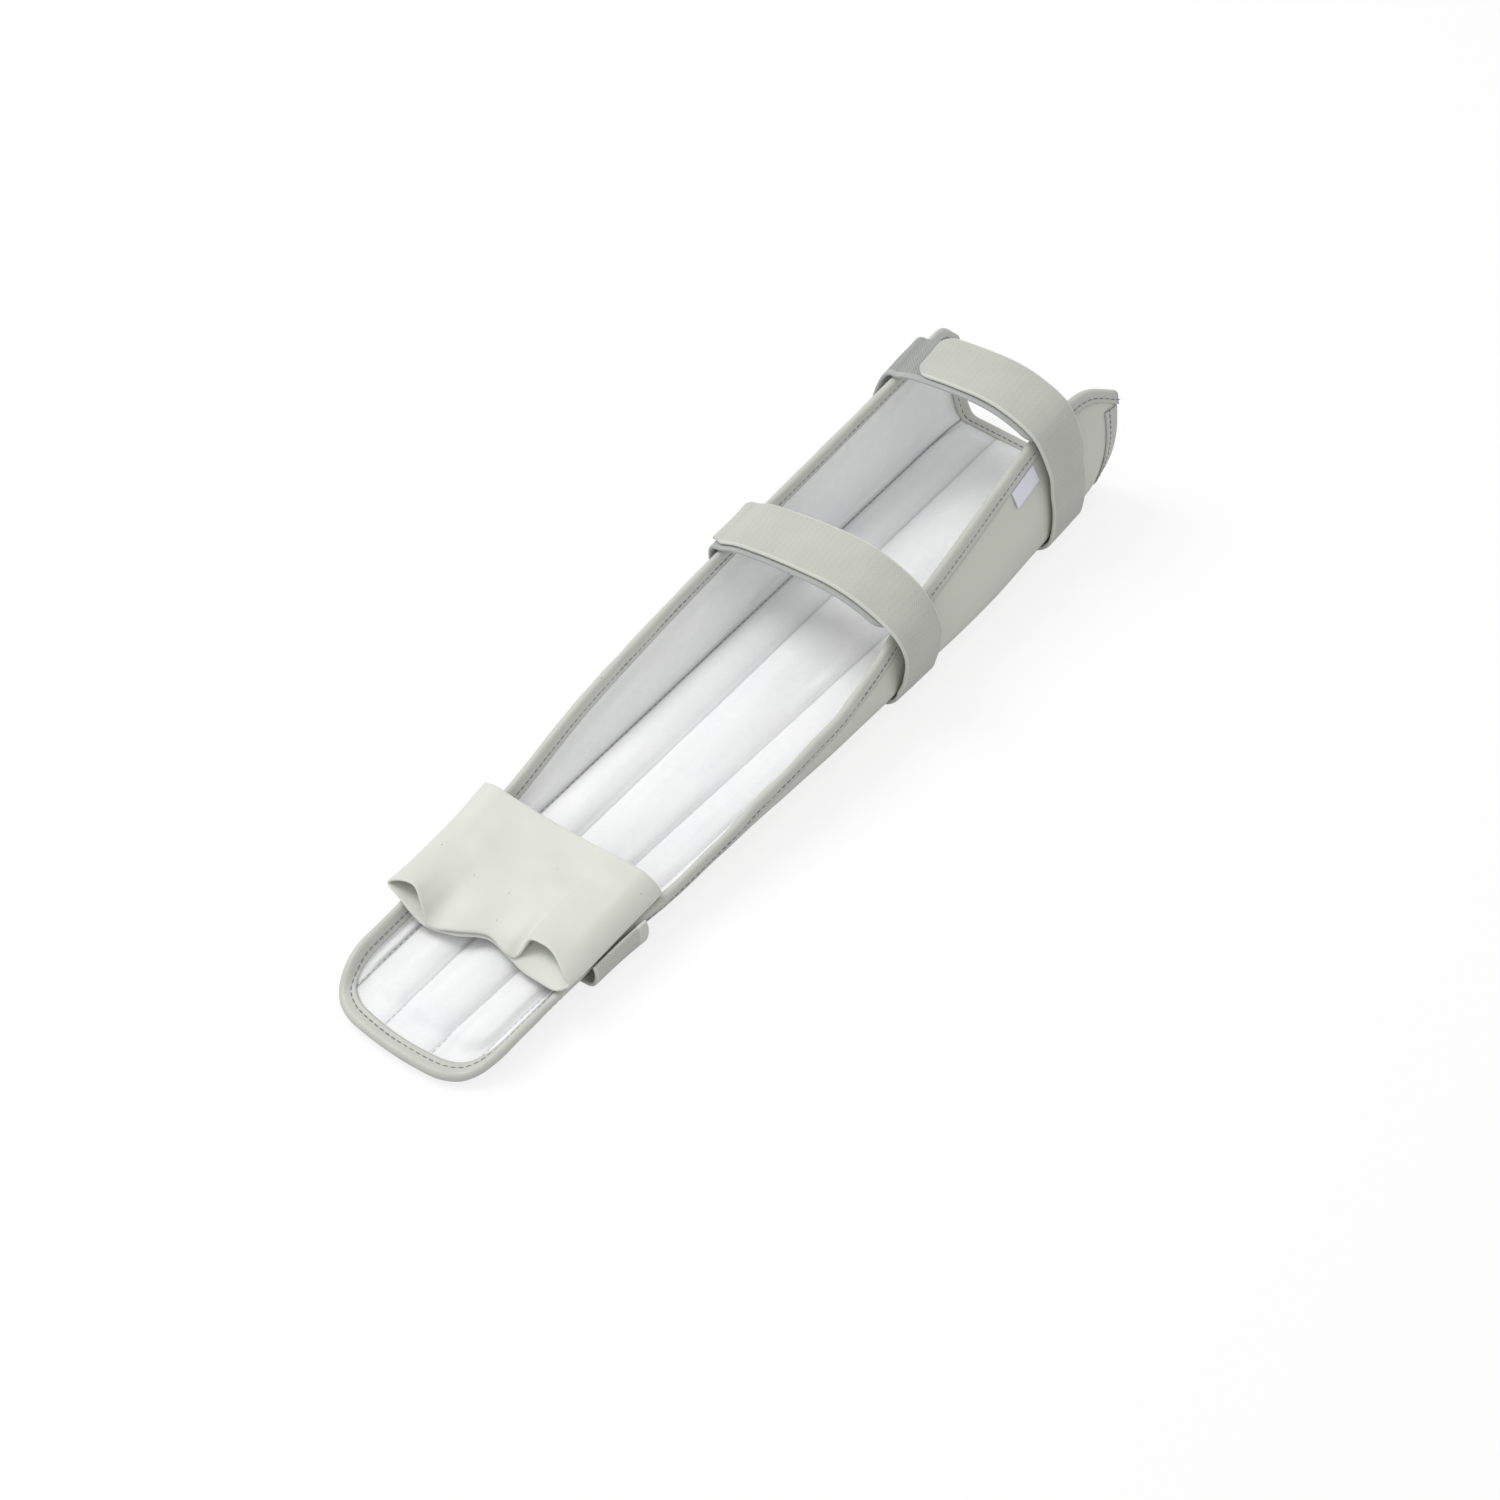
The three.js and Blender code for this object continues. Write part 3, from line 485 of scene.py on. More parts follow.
def resample(values, shares_from, shares_to, counts_from, counts_to):
    """Carries a field from the coarse grid to the fine one, then smooths it lengthways."""
    knots_from, knots_to = knot_places(counts_from), knot_places(counts_to)
    layers = []
    for field in values.transpose(2, 0, 1):
        rows = np.stack([np.interp(shares_to, shares_from, column) for column in field.T], 1)
        layers.append([np.interp(knots_to, knots_from, row) for row in rows])
    out = np.stack(layers, -1)
    for _ in range(SMOOTHINGS):
        out[1:-1] = (out[:-2] + 2 * out[1:-1] + out[2:]) / 4
    return out


fine_shares = row_shares(PAD_ROW)
pad_x, pad_s = cloth_grid(lambda x: pad_across(x, PAD_FINE), fine_shares)
swell_fine = resample(swelling, coarse_shares, fine_shares, PAD_COARSE, PAD_FINE)
pad_depth = pad_top(pad_x, pad_s, FULL_PUFF)
edge_distance = from_edge(pad_x, pad_s)
open_cloth = smooth(BINDING_REACH + 1, BINDING_REACH + 5, edge_distance)
for k, (seam, pull) in enumerate(zip(seams_at(pad_x), SEAM_PULL)):
    off = np.abs(pad_s - seam)
    stitches = 0.85 + 0.15 * np.cos(2 * np.pi * pad_x / QUILT_PITCH)
    pad_depth -= open_cloth * pull * stitches * np.exp(-(off / SEAM_WIDTH) ** 2)
    pucker = soft_noise(pad_x, pad_s, 3.4, 30, 20 + k) * np.exp(-(off / PUCKER_WIDTH) ** 2)
    pad_depth += open_cloth * 0.14 * pucker
pad_depth += open_cloth * 0.14 * soft_noise(pad_x, pad_s, 30, 16, 31)
scallop = np.exp(-((edge_distance - BINDING_REACH - 1.6) / 1.6) ** 2)
along_edge = np.where(np.abs(pad_x - BOARD_LENGTH) < 16, pad_s, pad_x)
scallop *= 0.5 + 0.5 * np.cos(2 * np.pi * along_edge / SCALLOP_PITCH)
pad_depth -= 0.55 * scallop * open_cloth
pad_points = place(pad_x, pad_s, np.maximum(pad_depth, PAD_BOTTOM + 0.9)) + swell_fine


def brushed_cloth(name, colour, seams):
    """Soft brushed cloth with a short matted nap, and painted shade along its seams.
    seams: place across at the hand end, in metres, slope, darkening and width of each painted
    shade band."""
    n = Nodes(name, 0.92, sheen=0.2, specular=0.15)
    at = n.objects()
    nap = n.noise(at, scale=900, detail=4, roughness=0.7)
    tufts = n.noise(at, scale=260, detail=3, roughness=0.6)
    patches = n.noise(at, scale=22, detail=2)
    shade = n.ramp(tufts, 0.25, 0.75, tinted(colour, 0.965), colour)
    tint = n.ramp(patches, 0.3, 0.75, srgb(250, 251, 252), WHITE)
    shade = n.mix(1.0, shade, tint, "MULTIPLY")
    parts = n.add("ShaderNodeSeparateXYZ", Vector=n.cloth())
    # Each band is painted shade: the colour is darkened near the seam's line.
    for start, slope, darkening, width in seams:
        line = n.math("MULTIPLY_ADD", parts.outputs["X"], slope, start)
        off = n.math("DIVIDE", n.math("SUBTRACT", parts.outputs["Y"], line), width)
        near = n.math("EXPONENT", n.math("MULTIPLY", n.math("MULTIPLY", off, off), -1.0))
        kept = n.math("SUBTRACT", 1.0, n.math("MULTIPLY", near, darkening))
        shade = n.mix(1.0, shade, kept, "MULTIPLY")
    height = n.math("ADD", n.math("MULTIPLY", nap, 0.6), n.math("MULTIPLY", tufts, 0.7))
    return n.finish(shade, height, distance=0.0004, strength=0.4)


# Painted shade on the lining: at the left foot a dark thin painted crease and a broad soft painted
# shadow, and at each quilting seam a thin painted crease and a soft painted shadow 1.5 mm to its
# left, on the channel's slope that faces away from the lamp.
seam_painted_shadows = [(LEFT_FLOOR * MM, 0.0, 0.55, 0.0007), (LEFT_FLOOR * MM, 0.0, 0.12, 0.003)]
for side, hand, elbow in SEAMS:
    width = floor_edge(side) * MM
    slope = width * (elbow - hand) / (BOARD_LENGTH * MM)
    seam_painted_shadows += [
        (width * hand, slope, 0.16, 0.0006),
        (width * hand + 0.0015, slope, 0.07, 0.0028),
    ]

lining = sheet_mesh(
    "lining_cloth",
    pad_points,
    place(pad_x, pad_s, PAD_BOTTOM),
    brushed_cloth("brushed_lining", srgb(247, 247, 247), seam_painted_shadows),
    np.stack([pad_x, pad_s], -1) * MM,
)
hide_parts("lining_pad")
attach(lining, "root")

# Binding tape: narrow strips of the same coated cloth, folded over the edge and lockstitched.
# One runs along both rims and round the hand end, the other closes the elbow end.
TAPE_LOW, TAPE_HIGH, TAPE_WALL = -0.85, 2.95, 0.6
TAPE_WAVE, SEW_LINE, SEW_PULL = 0.22, 4.7, 0.3
RIM_STEPS, CORNER_STEPS, FRONT_STEPS, END_STEPS = 231, 19, 24, 110
FOLD_COLUMN = 7


def fold_profile(wall):
    """Insets and depths round the tape's face, or that far inside it, from hem to hem."""
    bottom, top = TAPE_LOW + wall, TAPE_HIGH - wall
    middle = (TAPE_LOW + TAPE_HIGH) / 2
    half = (top - bottom) / 2
    flat = np.linspace(BINDING_WIDTH, half + wall, 6)
    around = np.radians(np.linspace(-90, 90, 9))
    insets = np.concatenate([flat[:-1], half + wall - half * np.cos(around), flat[::-1][1:]])
    depths = np.concatenate([np.full(5, bottom), middle + half * np.sin(around), np.full(5, top)])
    return insets, depths


def binding_mesh(name, path_x, path_s, inward, material, seed):
    """A folded tape along a path. inward gives x and s of the path, moved in by an inset."""
    outside, inside = fold_profile(0.0), fold_profile(TAPE_WALL)
    grids = []
    for insets, depths in (outside, inside):
        places = [inward(path_x, path_s, inset) for inset in insets]
        x = np.stack([p[0] for p in places], 1)
        s = np.stack([p[1] for p in places], 1)
        grids.append((x, s, np.broadcast_to(depths, x.shape)))
    (x, s, depth), (x_in, s_in, depth_in) = grids
    steps = np.hypot(np.diff(x[:, FOLD_COLUMN]), np.diff(s[:, FOLD_COLUMN]))
    run = np.concatenate([[0], np.cumsum(steps)])
    wave = TAPE_WAVE * soft_noise(run[:, None], np.zeros_like(run)[:, None], 9, 9, seed)
    stitch_pull = SEW_PULL * np.exp(-((outside[0] - SEW_LINE) / 0.7) ** 2)
    sign = np.where(outside[1] > 1.5, 1.0, -1.0)
    bulge = sign * (wave * (outside[0] < 6.5) - stitch_pull)
    outer = place(x, s, depth + bulge)
    inner = place(x_in, s_in, depth_in)
    across = np.linspace(0, 20, x.shape[1])
    uv = np.stack(np.broadcast_arrays(run[:, None], across[None, :]), -1) * MM
    return sheet_mesh(name, outer, inner, material, uv)


def rim_inward(kind):
    """kind is the side on a rim, twice the side on a corner and 0 on the hand end."""
    def inward(x, s, inset):
        out_x, out_s = x.copy(), s.copy()
        for side in (-1, 1):
            rim = (kind == side)
            out_s[rim] = side * (wall_at(x[rim], side)["reach"] - inset)
            corner = (kind == 2 * side)
            edge = wall_at(HAND_END, side)["reach"] - inset
            radius = HAND_CORNER - inset
            out_s[corner] = side * (edge - radius * (1 - np.sin(s[corner])))
            out_x[corner] = hand_x(out_s[corner], inset)
        front = (kind == 0)
        out_x[front] = hand_x(s[front], inset)
        return out_x, out_s
    return inward


rim_run = np.linspace(BOARD_LENGTH, HAND_END, RIM_STEPS + 1)[:-1]
rim_s = np.zeros(RIM_STEPS)
quarter = np.radians(np.linspace(90, 0, CORNER_STEPS))
left_start = wall_at(HAND_END, 1)["reach"] - HAND_CORNER
right_start = wall_at(HAND_END, -1)["reach"] - HAND_CORNER
front_run = np.linspace(left_start, -right_start, FRONT_STEPS + 2)[1:-1]
stretches = (RIM_STEPS, CORNER_STEPS, FRONT_STEPS, CORNER_STEPS, RIM_STEPS)
path_kind = np.repeat((1, 2, 0, -2, -1), stretches)
path_x = np.concatenate([rim_run, np.zeros(sum(stretches[1:4])), rim_run[::-1]])
path_s = np.concatenate([rim_s, quarter, front_run, quarter[::-1], rim_s])
tape_cloth = coated_cloth("binding_cloth", srgb(198, 199, 191), fold=0.9)
rim = binding_mesh("rim_tape", path_x, path_s, rim_inward(path_kind), tape_cloth, 5)
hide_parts("rim_binding")
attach(rim, "root")


def end_inward(x, s, inset):
    return x - inset, s


right_end, left_end = (side * wall_at(BOARD_LENGTH, side)["reach"] for side in (-1, 1))
end_s = np.linspace(right_end + BINDING_REACH, left_end - BINDING_REACH, END_STEPS)
end_x = np.full_like(end_s, BOARD_LENGTH)
end = binding_mesh("end_tape", end_x, end_s, end_inward, tape_cloth, 8)
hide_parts("end_binding")
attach(end, "root")

# Lockstitch thread: grey-violet on both faces of the tapes, white on the quilting seams.
# Each stitch is a short rounded thread that dips into the cloth at both ends.
# A stitch row's sizes are its pitch, and each stitch's length and width, in millimetres.
TAPE_STITCH, QUILT_STITCH = (3.0, 2.3, 0.5), (QUILT_PITCH, 2.1, 0.42)
STITCH_SINK, STITCH_LIFT, QUILT_LIFT = 0.28, 0.12, 0.08
QUILT_POINTS = 400


def thread(name, colour):
    n = Nodes(name, 0.6, sheen=0.1, specular=0.3)
    twist = n.noise(n.objects(), scale=3000, detail=1)
    shade = n.ramp(twist, 0.3, 0.7, tinted(colour, 0.8), colour)
    return n.finish(shade, twist, distance=0.0001, strength=0.4)


def stitch_tree():
    """Rounded stitches along a curve, with their pitch, length, width and thread as inputs."""
    tree = bpy.data.node_groups.new("stitch_row", "GeometryNodeTree")
    kinds = {"Geometry": "Geometry", "Pitch": "Float", "Length": "Float", "Width": "Float",
             "Thread": "Material"}
    sockets = {}
    for name, kind in kinds.items():
        socket_type = "NodeSocket" + kind
        socket = tree.interface.new_socket(name, in_out="INPUT", socket_type=socket_type)
        sockets[name] = socket.identifier
    tree.interface.new_socket("Geometry", in_out="OUTPUT", socket_type="NodeSocketGeometry")
    inlet, outlet = tree.nodes.new("NodeGroupInput"), tree.nodes.new("NodeGroupOutput")
    points = tree.nodes.new("GeometryNodeCurveToPoints")
    points.mode = "LENGTH"
    bead = tree.nodes.new("GeometryNodeMeshUVSphere")
    bead.inputs["Segments"].default_value, bead.inputs["Rings"].default_value = 8, 6
    bead.inputs["Radius"].default_value = 0.5
    along = tree.nodes.new("FunctionNodeAlignRotationToVector")
    along.axis = "Z"
    size = tree.nodes.new("ShaderNodeCombineXYZ")
    sew = tree.nodes.new("GeometryNodeInstanceOnPoints")
    real = tree.nodes.new("GeometryNodeRealizeInstances")
    paint = tree.nodes.new("GeometryNodeSetMaterial")
    soft = tree.nodes.new("GeometryNodeSetShadeSmooth")
    link = tree.links.new
    link(inlet.outputs["Geometry"], points.inputs["Curve"])
    link(inlet.outputs["Pitch"], points.inputs["Length"])
    link(points.outputs["Points"], sew.inputs["Points"])
    link(points.outputs["Tangent"], along.inputs["Vector"])
    link(along.outputs["Rotation"], sew.inputs["Rotation"])
    link(bead.outputs["Mesh"], sew.inputs["Instance"])
    for axis, source in (("X", "Width"), ("Y", "Width"), ("Z", "Length")):
        link(inlet.outputs[source], size.inputs[axis])
    link(size.outputs["Vector"], sew.inputs["Scale"])
    link(sew.outputs["Instances"], real.inputs["Geometry"])
    link(real.outputs["Geometry"], paint.inputs["Geometry"])
    link(inlet.outputs["Thread"], paint.inputs["Material"])
    link(paint.outputs["Geometry"], soft.inputs["Geometry"])
    link(soft.outputs["Geometry"], outlet.inputs["Geometry"])
    return tree, sockets


STITCH_ROW, STITCH_SOCKETS = stitch_tree()


def sew_rows(name, rows, stitch, material):
    """Stitches along each row of points, as one mesh piece."""
    pitch, length, width = (size * MM for size in stitch)
    curve = bpy.data.curves.new(name + "_path", "CURVE")
    curve.dimensions = "3D"
    for row in rows:
        spline = curve.splines.new("POLY")
        spline.points.add(len(row) - 1)
        spline.points.foreach_set("co", np.concatenate([row, np.ones((len(row), 1))], 1).ravel())
    path = add_object(name + "_path", curve)
    sewing = path.modifiers.new("sewing", "NODES")
    sewing.node_group = STITCH_ROW
    values = {"Pitch": pitch, "Length": length, "Width": width, "Thread": material}
    for key, value in values.items():
        sewing[STITCH_SOCKETS[key]] = value
    ready = path.evaluated_get(bpy.context.evaluated_depsgraph_get())
    mesh = bpy.data.meshes.new_from_object(ready)
    bpy.data.objects.remove(path)
    piece = add_object(name, mesh)
    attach(piece, "root")


grey_thread = thread("grey_thread", srgb(138, 138, 152))
white_thread = thread("white_thread", srgb(228, 230, 236))


def tape_rows(path_x, path_s, inward):
    x, s = inward(path_x, path_s, SEW_LINE)
    high, low = TAPE_HIGH - STITCH_SINK + STITCH_LIFT, TAPE_LOW + STITCH_SINK - STITCH_LIFT
    return [place(x, s, high), place(x, s, low)]


rim_rows = tape_rows(path_x, path_s, rim_inward(path_kind))
end_rows = tape_rows(end_x, end_s, end_inward)
sew_rows("rim_stitches", rim_rows, TAPE_STITCH, grey_thread)
sew_rows("end_stitches", end_rows, TAPE_STITCH, grey_thread)

quilt_rows = []
for column in np.cumsum([0] + PAD_FINE)[SEAM_COLUMN_KNOTS]:
    line = pad_points[:, column]
    stations = np.linspace(0, len(line) - 1, QUILT_POINTS)
    row = np.stack([np.interp(stations, np.arange(len(line)), v) for v in line.T], -1)
    from_hand = row[:, 0] - CENTRE[0] * MM
    inside = (from_hand > (BINDING_REACH + 2) * MM) & (row[:, 0] < (BOARD_LENGTH / 2 - 10) * MM)
    quilt_rows.append(row[inside] + np.array([0, 0, QUILT_LIFT * MM]))
sew_rows("quilting_stitches", quilt_rows, QUILT_STITCH, white_thread)

# Straps: polyester webbing, 25 mm wide, sewn under the floor. On each, the hook strap comes up the
# left wall and over the arm, and the loop strap comes up the right wall and presses onto it.
WEBBING_WALL, STRAP_WIDTH, STRAP_SEAT = 1.7, 25.0, 0.7
BINDING_TOP = PAD_BOTTOM + PAD_EDGE + TAPE_GAP + BINDING_WALL
HOOK_SHIFT, TIP_ROUND, RIM_AIR = 1.5, 7.0, 1.2
LAP, LAP_LENGTH = 2.15, 0.05
LEVEL_LIMIT, EDGE_ROUND, SETTLE = 0.1, 0.8, 0.12
LOWEST = 0.00002
JOIN_GAP = 0.15 / 230
STRAP_STEPS = 150
TIP_STEPS = np.array([0, 0.0006, 0.0015, 0.003, 0.006, 0.01, 0.015, 0.021, 0.027])
JOIN_STEPS = np.array([0.001, 0.003])
FULL_TURN = 6.2832
# slack and bulge hold the right side's, then the left side's. The ends are shares of the loop.
STRAPS = {
    "forearm": {"x": 267.0, "arch": 11.0, "slack": (3.5, 1.6), "bulge": (2.8, 3.0),
                "hook_end": 0.36, "loop_end": 0.72},
    "elbow": {"x": 379.0, "arch": 8.0, "slack": (1.6, 1.4), "bulge": (1.0, 6.5),
              "hook_end": 0.38, "loop_end": 0.61},
}
# Columns: place between the rims from -1 to 1, and rise as a share of the arch.
ARCH = np.array([
    (-0.86, 0.42), (-0.66, 0.74), (-0.44, 0.95), (-0.18, 1.0),
    (0.1, 0.89), (0.35, 0.74), (0.6, 0.55), (0.83, 0.32),
])


def rounded_path(points, closed=False, per_span=24):
    """A smooth path through points, with per_span steps between each two, and its directions."""
    points = np.asarray(points, float)
    count = len(points) if closed else len(points) - 1
    t = np.arange(per_span) / per_span
    path, along = [], []
    for i in range(count):
        if closed:
            p0, p1, p2, p3 = (points[(i + k) % len(points)] for k in (-1, 0, 1, 2))
        else:
            p1, p2 = points[i], points[i + 1]
            p0 = points[i - 1] if i else 2 * p1 - p2
            p3 = points[i + 2] if i + 2 < len(points) else 2 * p2 - p1
        chords = ((p0, p1), (p1, p2), (p2, p3))
        d0, d1, d2 = (max(np.linalg.norm(b - a), 1e-6) ** 0.5 for a, b in chords)
        a1 = ((p1 - p0) / d0 - (p2 - p0) / (d0 + d1) + (p2 - p1) / d1) * d1
        a2 = ((p2 - p1) / d1 - (p3 - p1) / (d1 + d2) + (p3 - p2) / d2) * d1
        c2, c3 = -3 * p1 + 3 * p2 - 2 * a1 - a2, 2 * p1 - 2 * p2 + a1 + a2
        steps = (t if closed or i < count - 1 else np.append(t, 1.0))[:, None]
        path.append(p1 + steps * a1 + steps ** 2 * c2 + steps ** 3 * c3)
        along.append(a1 + 2 * steps * c2 + 3 * steps ** 2 * c3)
    return np.concatenate(path), np.concatenate(along)


def run_along(path):
    """Distance along a path to each of its points."""
    return np.concatenate([[0], np.cumsum(np.linalg.norm(np.diff(path, axis=0), axis=1))])


def by_length(path, shares):
    """A path's rows at shares of its length, and that length. Its points are in columns 0 to 2."""
    run = run_along(path[:, :3])
    return np.stack([np.interp(shares * run[-1], run, v) for v in path.T], -1), run[-1]


def edge_share(distance, least=0.06):
    """Share of a cloth's thickness at a distance in from its rounded edge."""
    return np.sqrt(np.clip(1 - (1 - distance / EDGE_ROUND).clip(0) ** 2, least, 1))


def plain(x, s, depth):
    """A place as numbers in millimetres before the board is centred."""
    return place(x, s, depth, buckle=False) / MM - CENTRE


def strap_ring(x, arch, slack, bulge):
    """Points of a strap's inner face at x, from under the floor up the right wall and round."""
    sides = []
    for side, loose, full in zip((-1, 1), slack, bulge):
        wall = wall_at(x, side)
        floor, foot, reach = (float(wall[k]) for k in ("floor", "foot", "reach"))
        points = [np.array([x, side * out * floor, WEBBING_WALL]) for out in (0, 0.5, 0.97)]
        for t in (0.25, 0.5, 0.75):
            points.append(plain(x, side * (floor + (foot - floor) * t), -STRAP_SEAT))
        for up in (0.02, 0.33, 0.66, 1):
            seat = STRAP_SEAT + (loose - STRAP_SEAT) * up ** 2 + full * np.sin(np.pi * up)
            hem = BINDING_WALL if up == 1 else 0
            points.append(plain(x, side * (foot + (reach - foot) * up), -seat - hem))
        if side > 0:
            points.append(plain(x, reach + RIM_AIR, BINDING_TOP / 2))
        sides.append(points)
    right, left = sides
    start, finish = right[-1], left[-1]
    over = [start + (finish - start) * (across + 1) / 2 + np.array([0, 0, rise * arch])
            for across, rise in ARCH]
    return right + over + left[::-1]


def level_face(path, along):
    """Points of a strap's inner face with the outward direction there, level under the floor."""
    out = np.stack([np.zeros(len(path)), -along[:, 2], along[:, 1]], -1)
    out /= np.linalg.norm(out, axis=1, keepdims=True)
    level = path[:, 2] - WEBBING_WALL < LEVEL_LIMIT
    path[level, 2] = WEBBING_WALL
    out[level] = (0, 0, -1)
    return path, out


def faces_of(middle, out, half):
    """Both faces of a cloth round its middle, in metres, kept just above the floor it lies on."""
    levels = [(middle + sign * out * half + CENTRE) * MM for sign in (1, -1)]
    for level in levels:
        level[..., 2] = np.maximum(level[..., 2], LOWEST)
    return levels


def across_places(width, rim):
    """Places across a webbing, close together at its rounded edges as rim gives."""
    inside = np.linspace(2 * rim[-1], width - 2 * rim[-1], 15)
    return np.concatenate([rim, inside, [width - v for v in rim[::-1]]])


def webbing_strip(name, near, far, lift, trim, shift, material, seed):
    """Webbing between two edges, each given as points and outward directions."""
    across = across_places(STRAP_WIDTH, [0.0, 0.12, 0.35, 0.8])
    thick = edge_share(np.minimum(across, STRAP_WIDTH - across))
    cut = trim[:, None]
    at = (cut + across[None, :] * (STRAP_WIDTH - 2 * cut) / STRAP_WIDTH + shift) / STRAP_WIDTH
    out = near[1][:, None] * (1 - at[..., None]) + far[1][:, None] * at[..., None]
    face = near[0][:, None] * (1 - at[..., None]) + far[0][:, None] * at[..., None]
    run = run_along(near[0])
    settle = SETTLE * soft_noise(run[:, None], across[None, :], 17, 9, seed)
    middle = face + out * (lift[:, None] + WEBBING_WALL / 2 + settle)[..., None]
    end_thick = edge_share(np.minimum(run, run[-1] - run))
    half = 0.5 * WEBBING_WALL * thick[None, :, None] * end_thick[:, None, None]
    uv = np.stack([np.broadcast_to(run[:, None], at.shape), at * STRAP_WIDTH], -1) * MM
    return sheet_mesh(name, *faces_of(middle, out, half), material, uv), run[-1]


def webbing(name, colour, valley_shade, pitch, ribs):
    """Woven webbing: rows of raised yarns across the strap, with painted shade in the valleys
    between them.
    Its edges are painted lighter, a painted highlight. Y is across, in metres."""
    n = Nodes(name, 0.82, sheen=0.25, specular=0.25)
    parts = n.add("ShaderNodeSeparateXYZ", Vector=n.cloth())
    wobble = n.math("MULTIPLY", n.noise(n.objects(), scale=420, detail=2), 0.9)
    u = n.math("MULTIPLY_ADD", parts.outputs["X"], FULL_TURN / pitch, wobble)
    v = n.math("MULTIPLY_ADD", parts.outputs["Y"], FULL_TURN / pitch, wobble)
    dots = n.math("MULTIPLY", n.math("SINE", u), n.math("SINE", v))
    rows = n.math("SINE", n.math("MULTIPLY", u, 0.5))
    ribbed = n.math("MULTIPLY_ADD", rows, 0.5 * ribs, 0.5)
    weave = n.math("MULTIPLY_ADD", dots, 0.5 * (1 - ribs), ribbed)
    fluff = n.noise(n.objects(), scale=1300, detail=3, roughness=0.7)
    # Painted highlight: a band 0.9 mm wide along each edge is painted lighter than the strap.
    from_middle = n.math("ABSOLUTE", n.math("ADD", parts.outputs["Y"], -0.0125))
    edge_highlight = n.math("GREATER_THAN", from_middle, 0.0116)
    # Painted shade: the weave's valleys take the darker colour.
    shaded_weave = n.ramp(weave, 0.15, 0.85, valley_shade, colour)
    shade = n.mix(edge_highlight, shaded_weave, tinted(colour, 1.12))
    patches = n.noise(n.objects(), scale=60, detail=3)
    worn = n.ramp(patches, 0.3, 0.75, (0.93, 0.93, 0.93, 1), WHITE)
    height = n.math("ADD", weave, n.math("MULTIPLY", fluff, 0.45))
    # Random wear patches over the painted valley shade and painted edge highlight.
    wear_and_painted_light = n.mix(1.0, shade, worn, "MULTIPLY")
    return n.finish(wear_and_painted_light, height, distance=0.00016, strength=0.45)


# Each webbing's own colour, then the darker painted shade for its weave's valleys.
LOOP_COLOURS = srgb(204, 205, 197), srgb(189, 190, 182)
HOOK_COLOURS = srgb(170, 173, 170), srgb(143, 146, 144)
loop_webbing = webbing("loop_webbing", *LOOP_COLOURS, pitch=1.3 * MM, ribs=0.12)
hook_webbing = webbing("hook_webbing", *HOOK_COLOURS, pitch=1.5 * MM, ribs=0.15)

for strap_name, facts in STRAPS.items():
    hook_end, loop_end = facts["hook_end"], facts["loop_end"]
    edges = []
    for edge in (-1, 1):
        edge_x = facts["x"] + edge * STRAP_WIDTH / 2
        ring = strap_ring(edge_x, facts["arch"], facts["slack"], facts["bulge"])
        edges.append(np.concatenate(rounded_path(ring), 1))
    # Each webbing's first and last share, its tip's share, its way in x and its cloth.
    shapes = {
        "loop": (JOIN_GAP, loop_end, loop_end, 0.0, loop_webbing),
        "hook": (hook_end, 1 - JOIN_GAP, hook_end, -HOOK_SHIFT, hook_webbing),
    }
    for kind, (first, last, tip, shift, material) in shapes.items():
        body = np.linspace(first, last, STRAP_STEPS)
        join, inwards = (first, 1) if tip == last else (last, -1)
        near_tip, near_join = tip - inwards * TIP_STEPS, join + inwards * JOIN_STEPS
        shares = np.unique(np.concatenate([body, near_tip, near_join]).round(7))
        faces = []
        for edge in edges:
            sampled, ring_length = by_length(edge, shares)
            faces.append(level_face(sampled[:, :3].copy(), sampled[:, 3:]))
        into = np.maximum(TIP_ROUND - np.abs(tip - shares) * ring_length, 0)
        trim = TIP_ROUND - np.sqrt(TIP_ROUND ** 2 - into ** 2)
        climb = LAP * smooth(hook_end - 2 * LAP_LENGTH, hook_end - LAP_LENGTH, shares)
        climb *= kind == "loop"
        name, seed = f"{strap_name}_{kind}_webbing", 40 + len(strap_name)
        piece, long = webbing_strip(name, *faces, climb, trim, shift, material, seed)
        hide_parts(f"{strap_name}_{kind}_strap")
        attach(piece, "root")

# Wrist flap: a flattened sleeve of the coated cloth that lies across both rims. Its layers are
# pressed together over the trough, and it folds loosely at each side, where its ends stay open.
FLAP_WALL, FLAP_WIDTH, FLAP_START, FLAP_LOFT, FLAP_TAPER = 1.2, 64.0, 48.0, 8.0, 0.08
FLAP_FADE, FLAP_TOP_COLUMNS, FLAP_CUT_ROW = 4.5, 120, 20
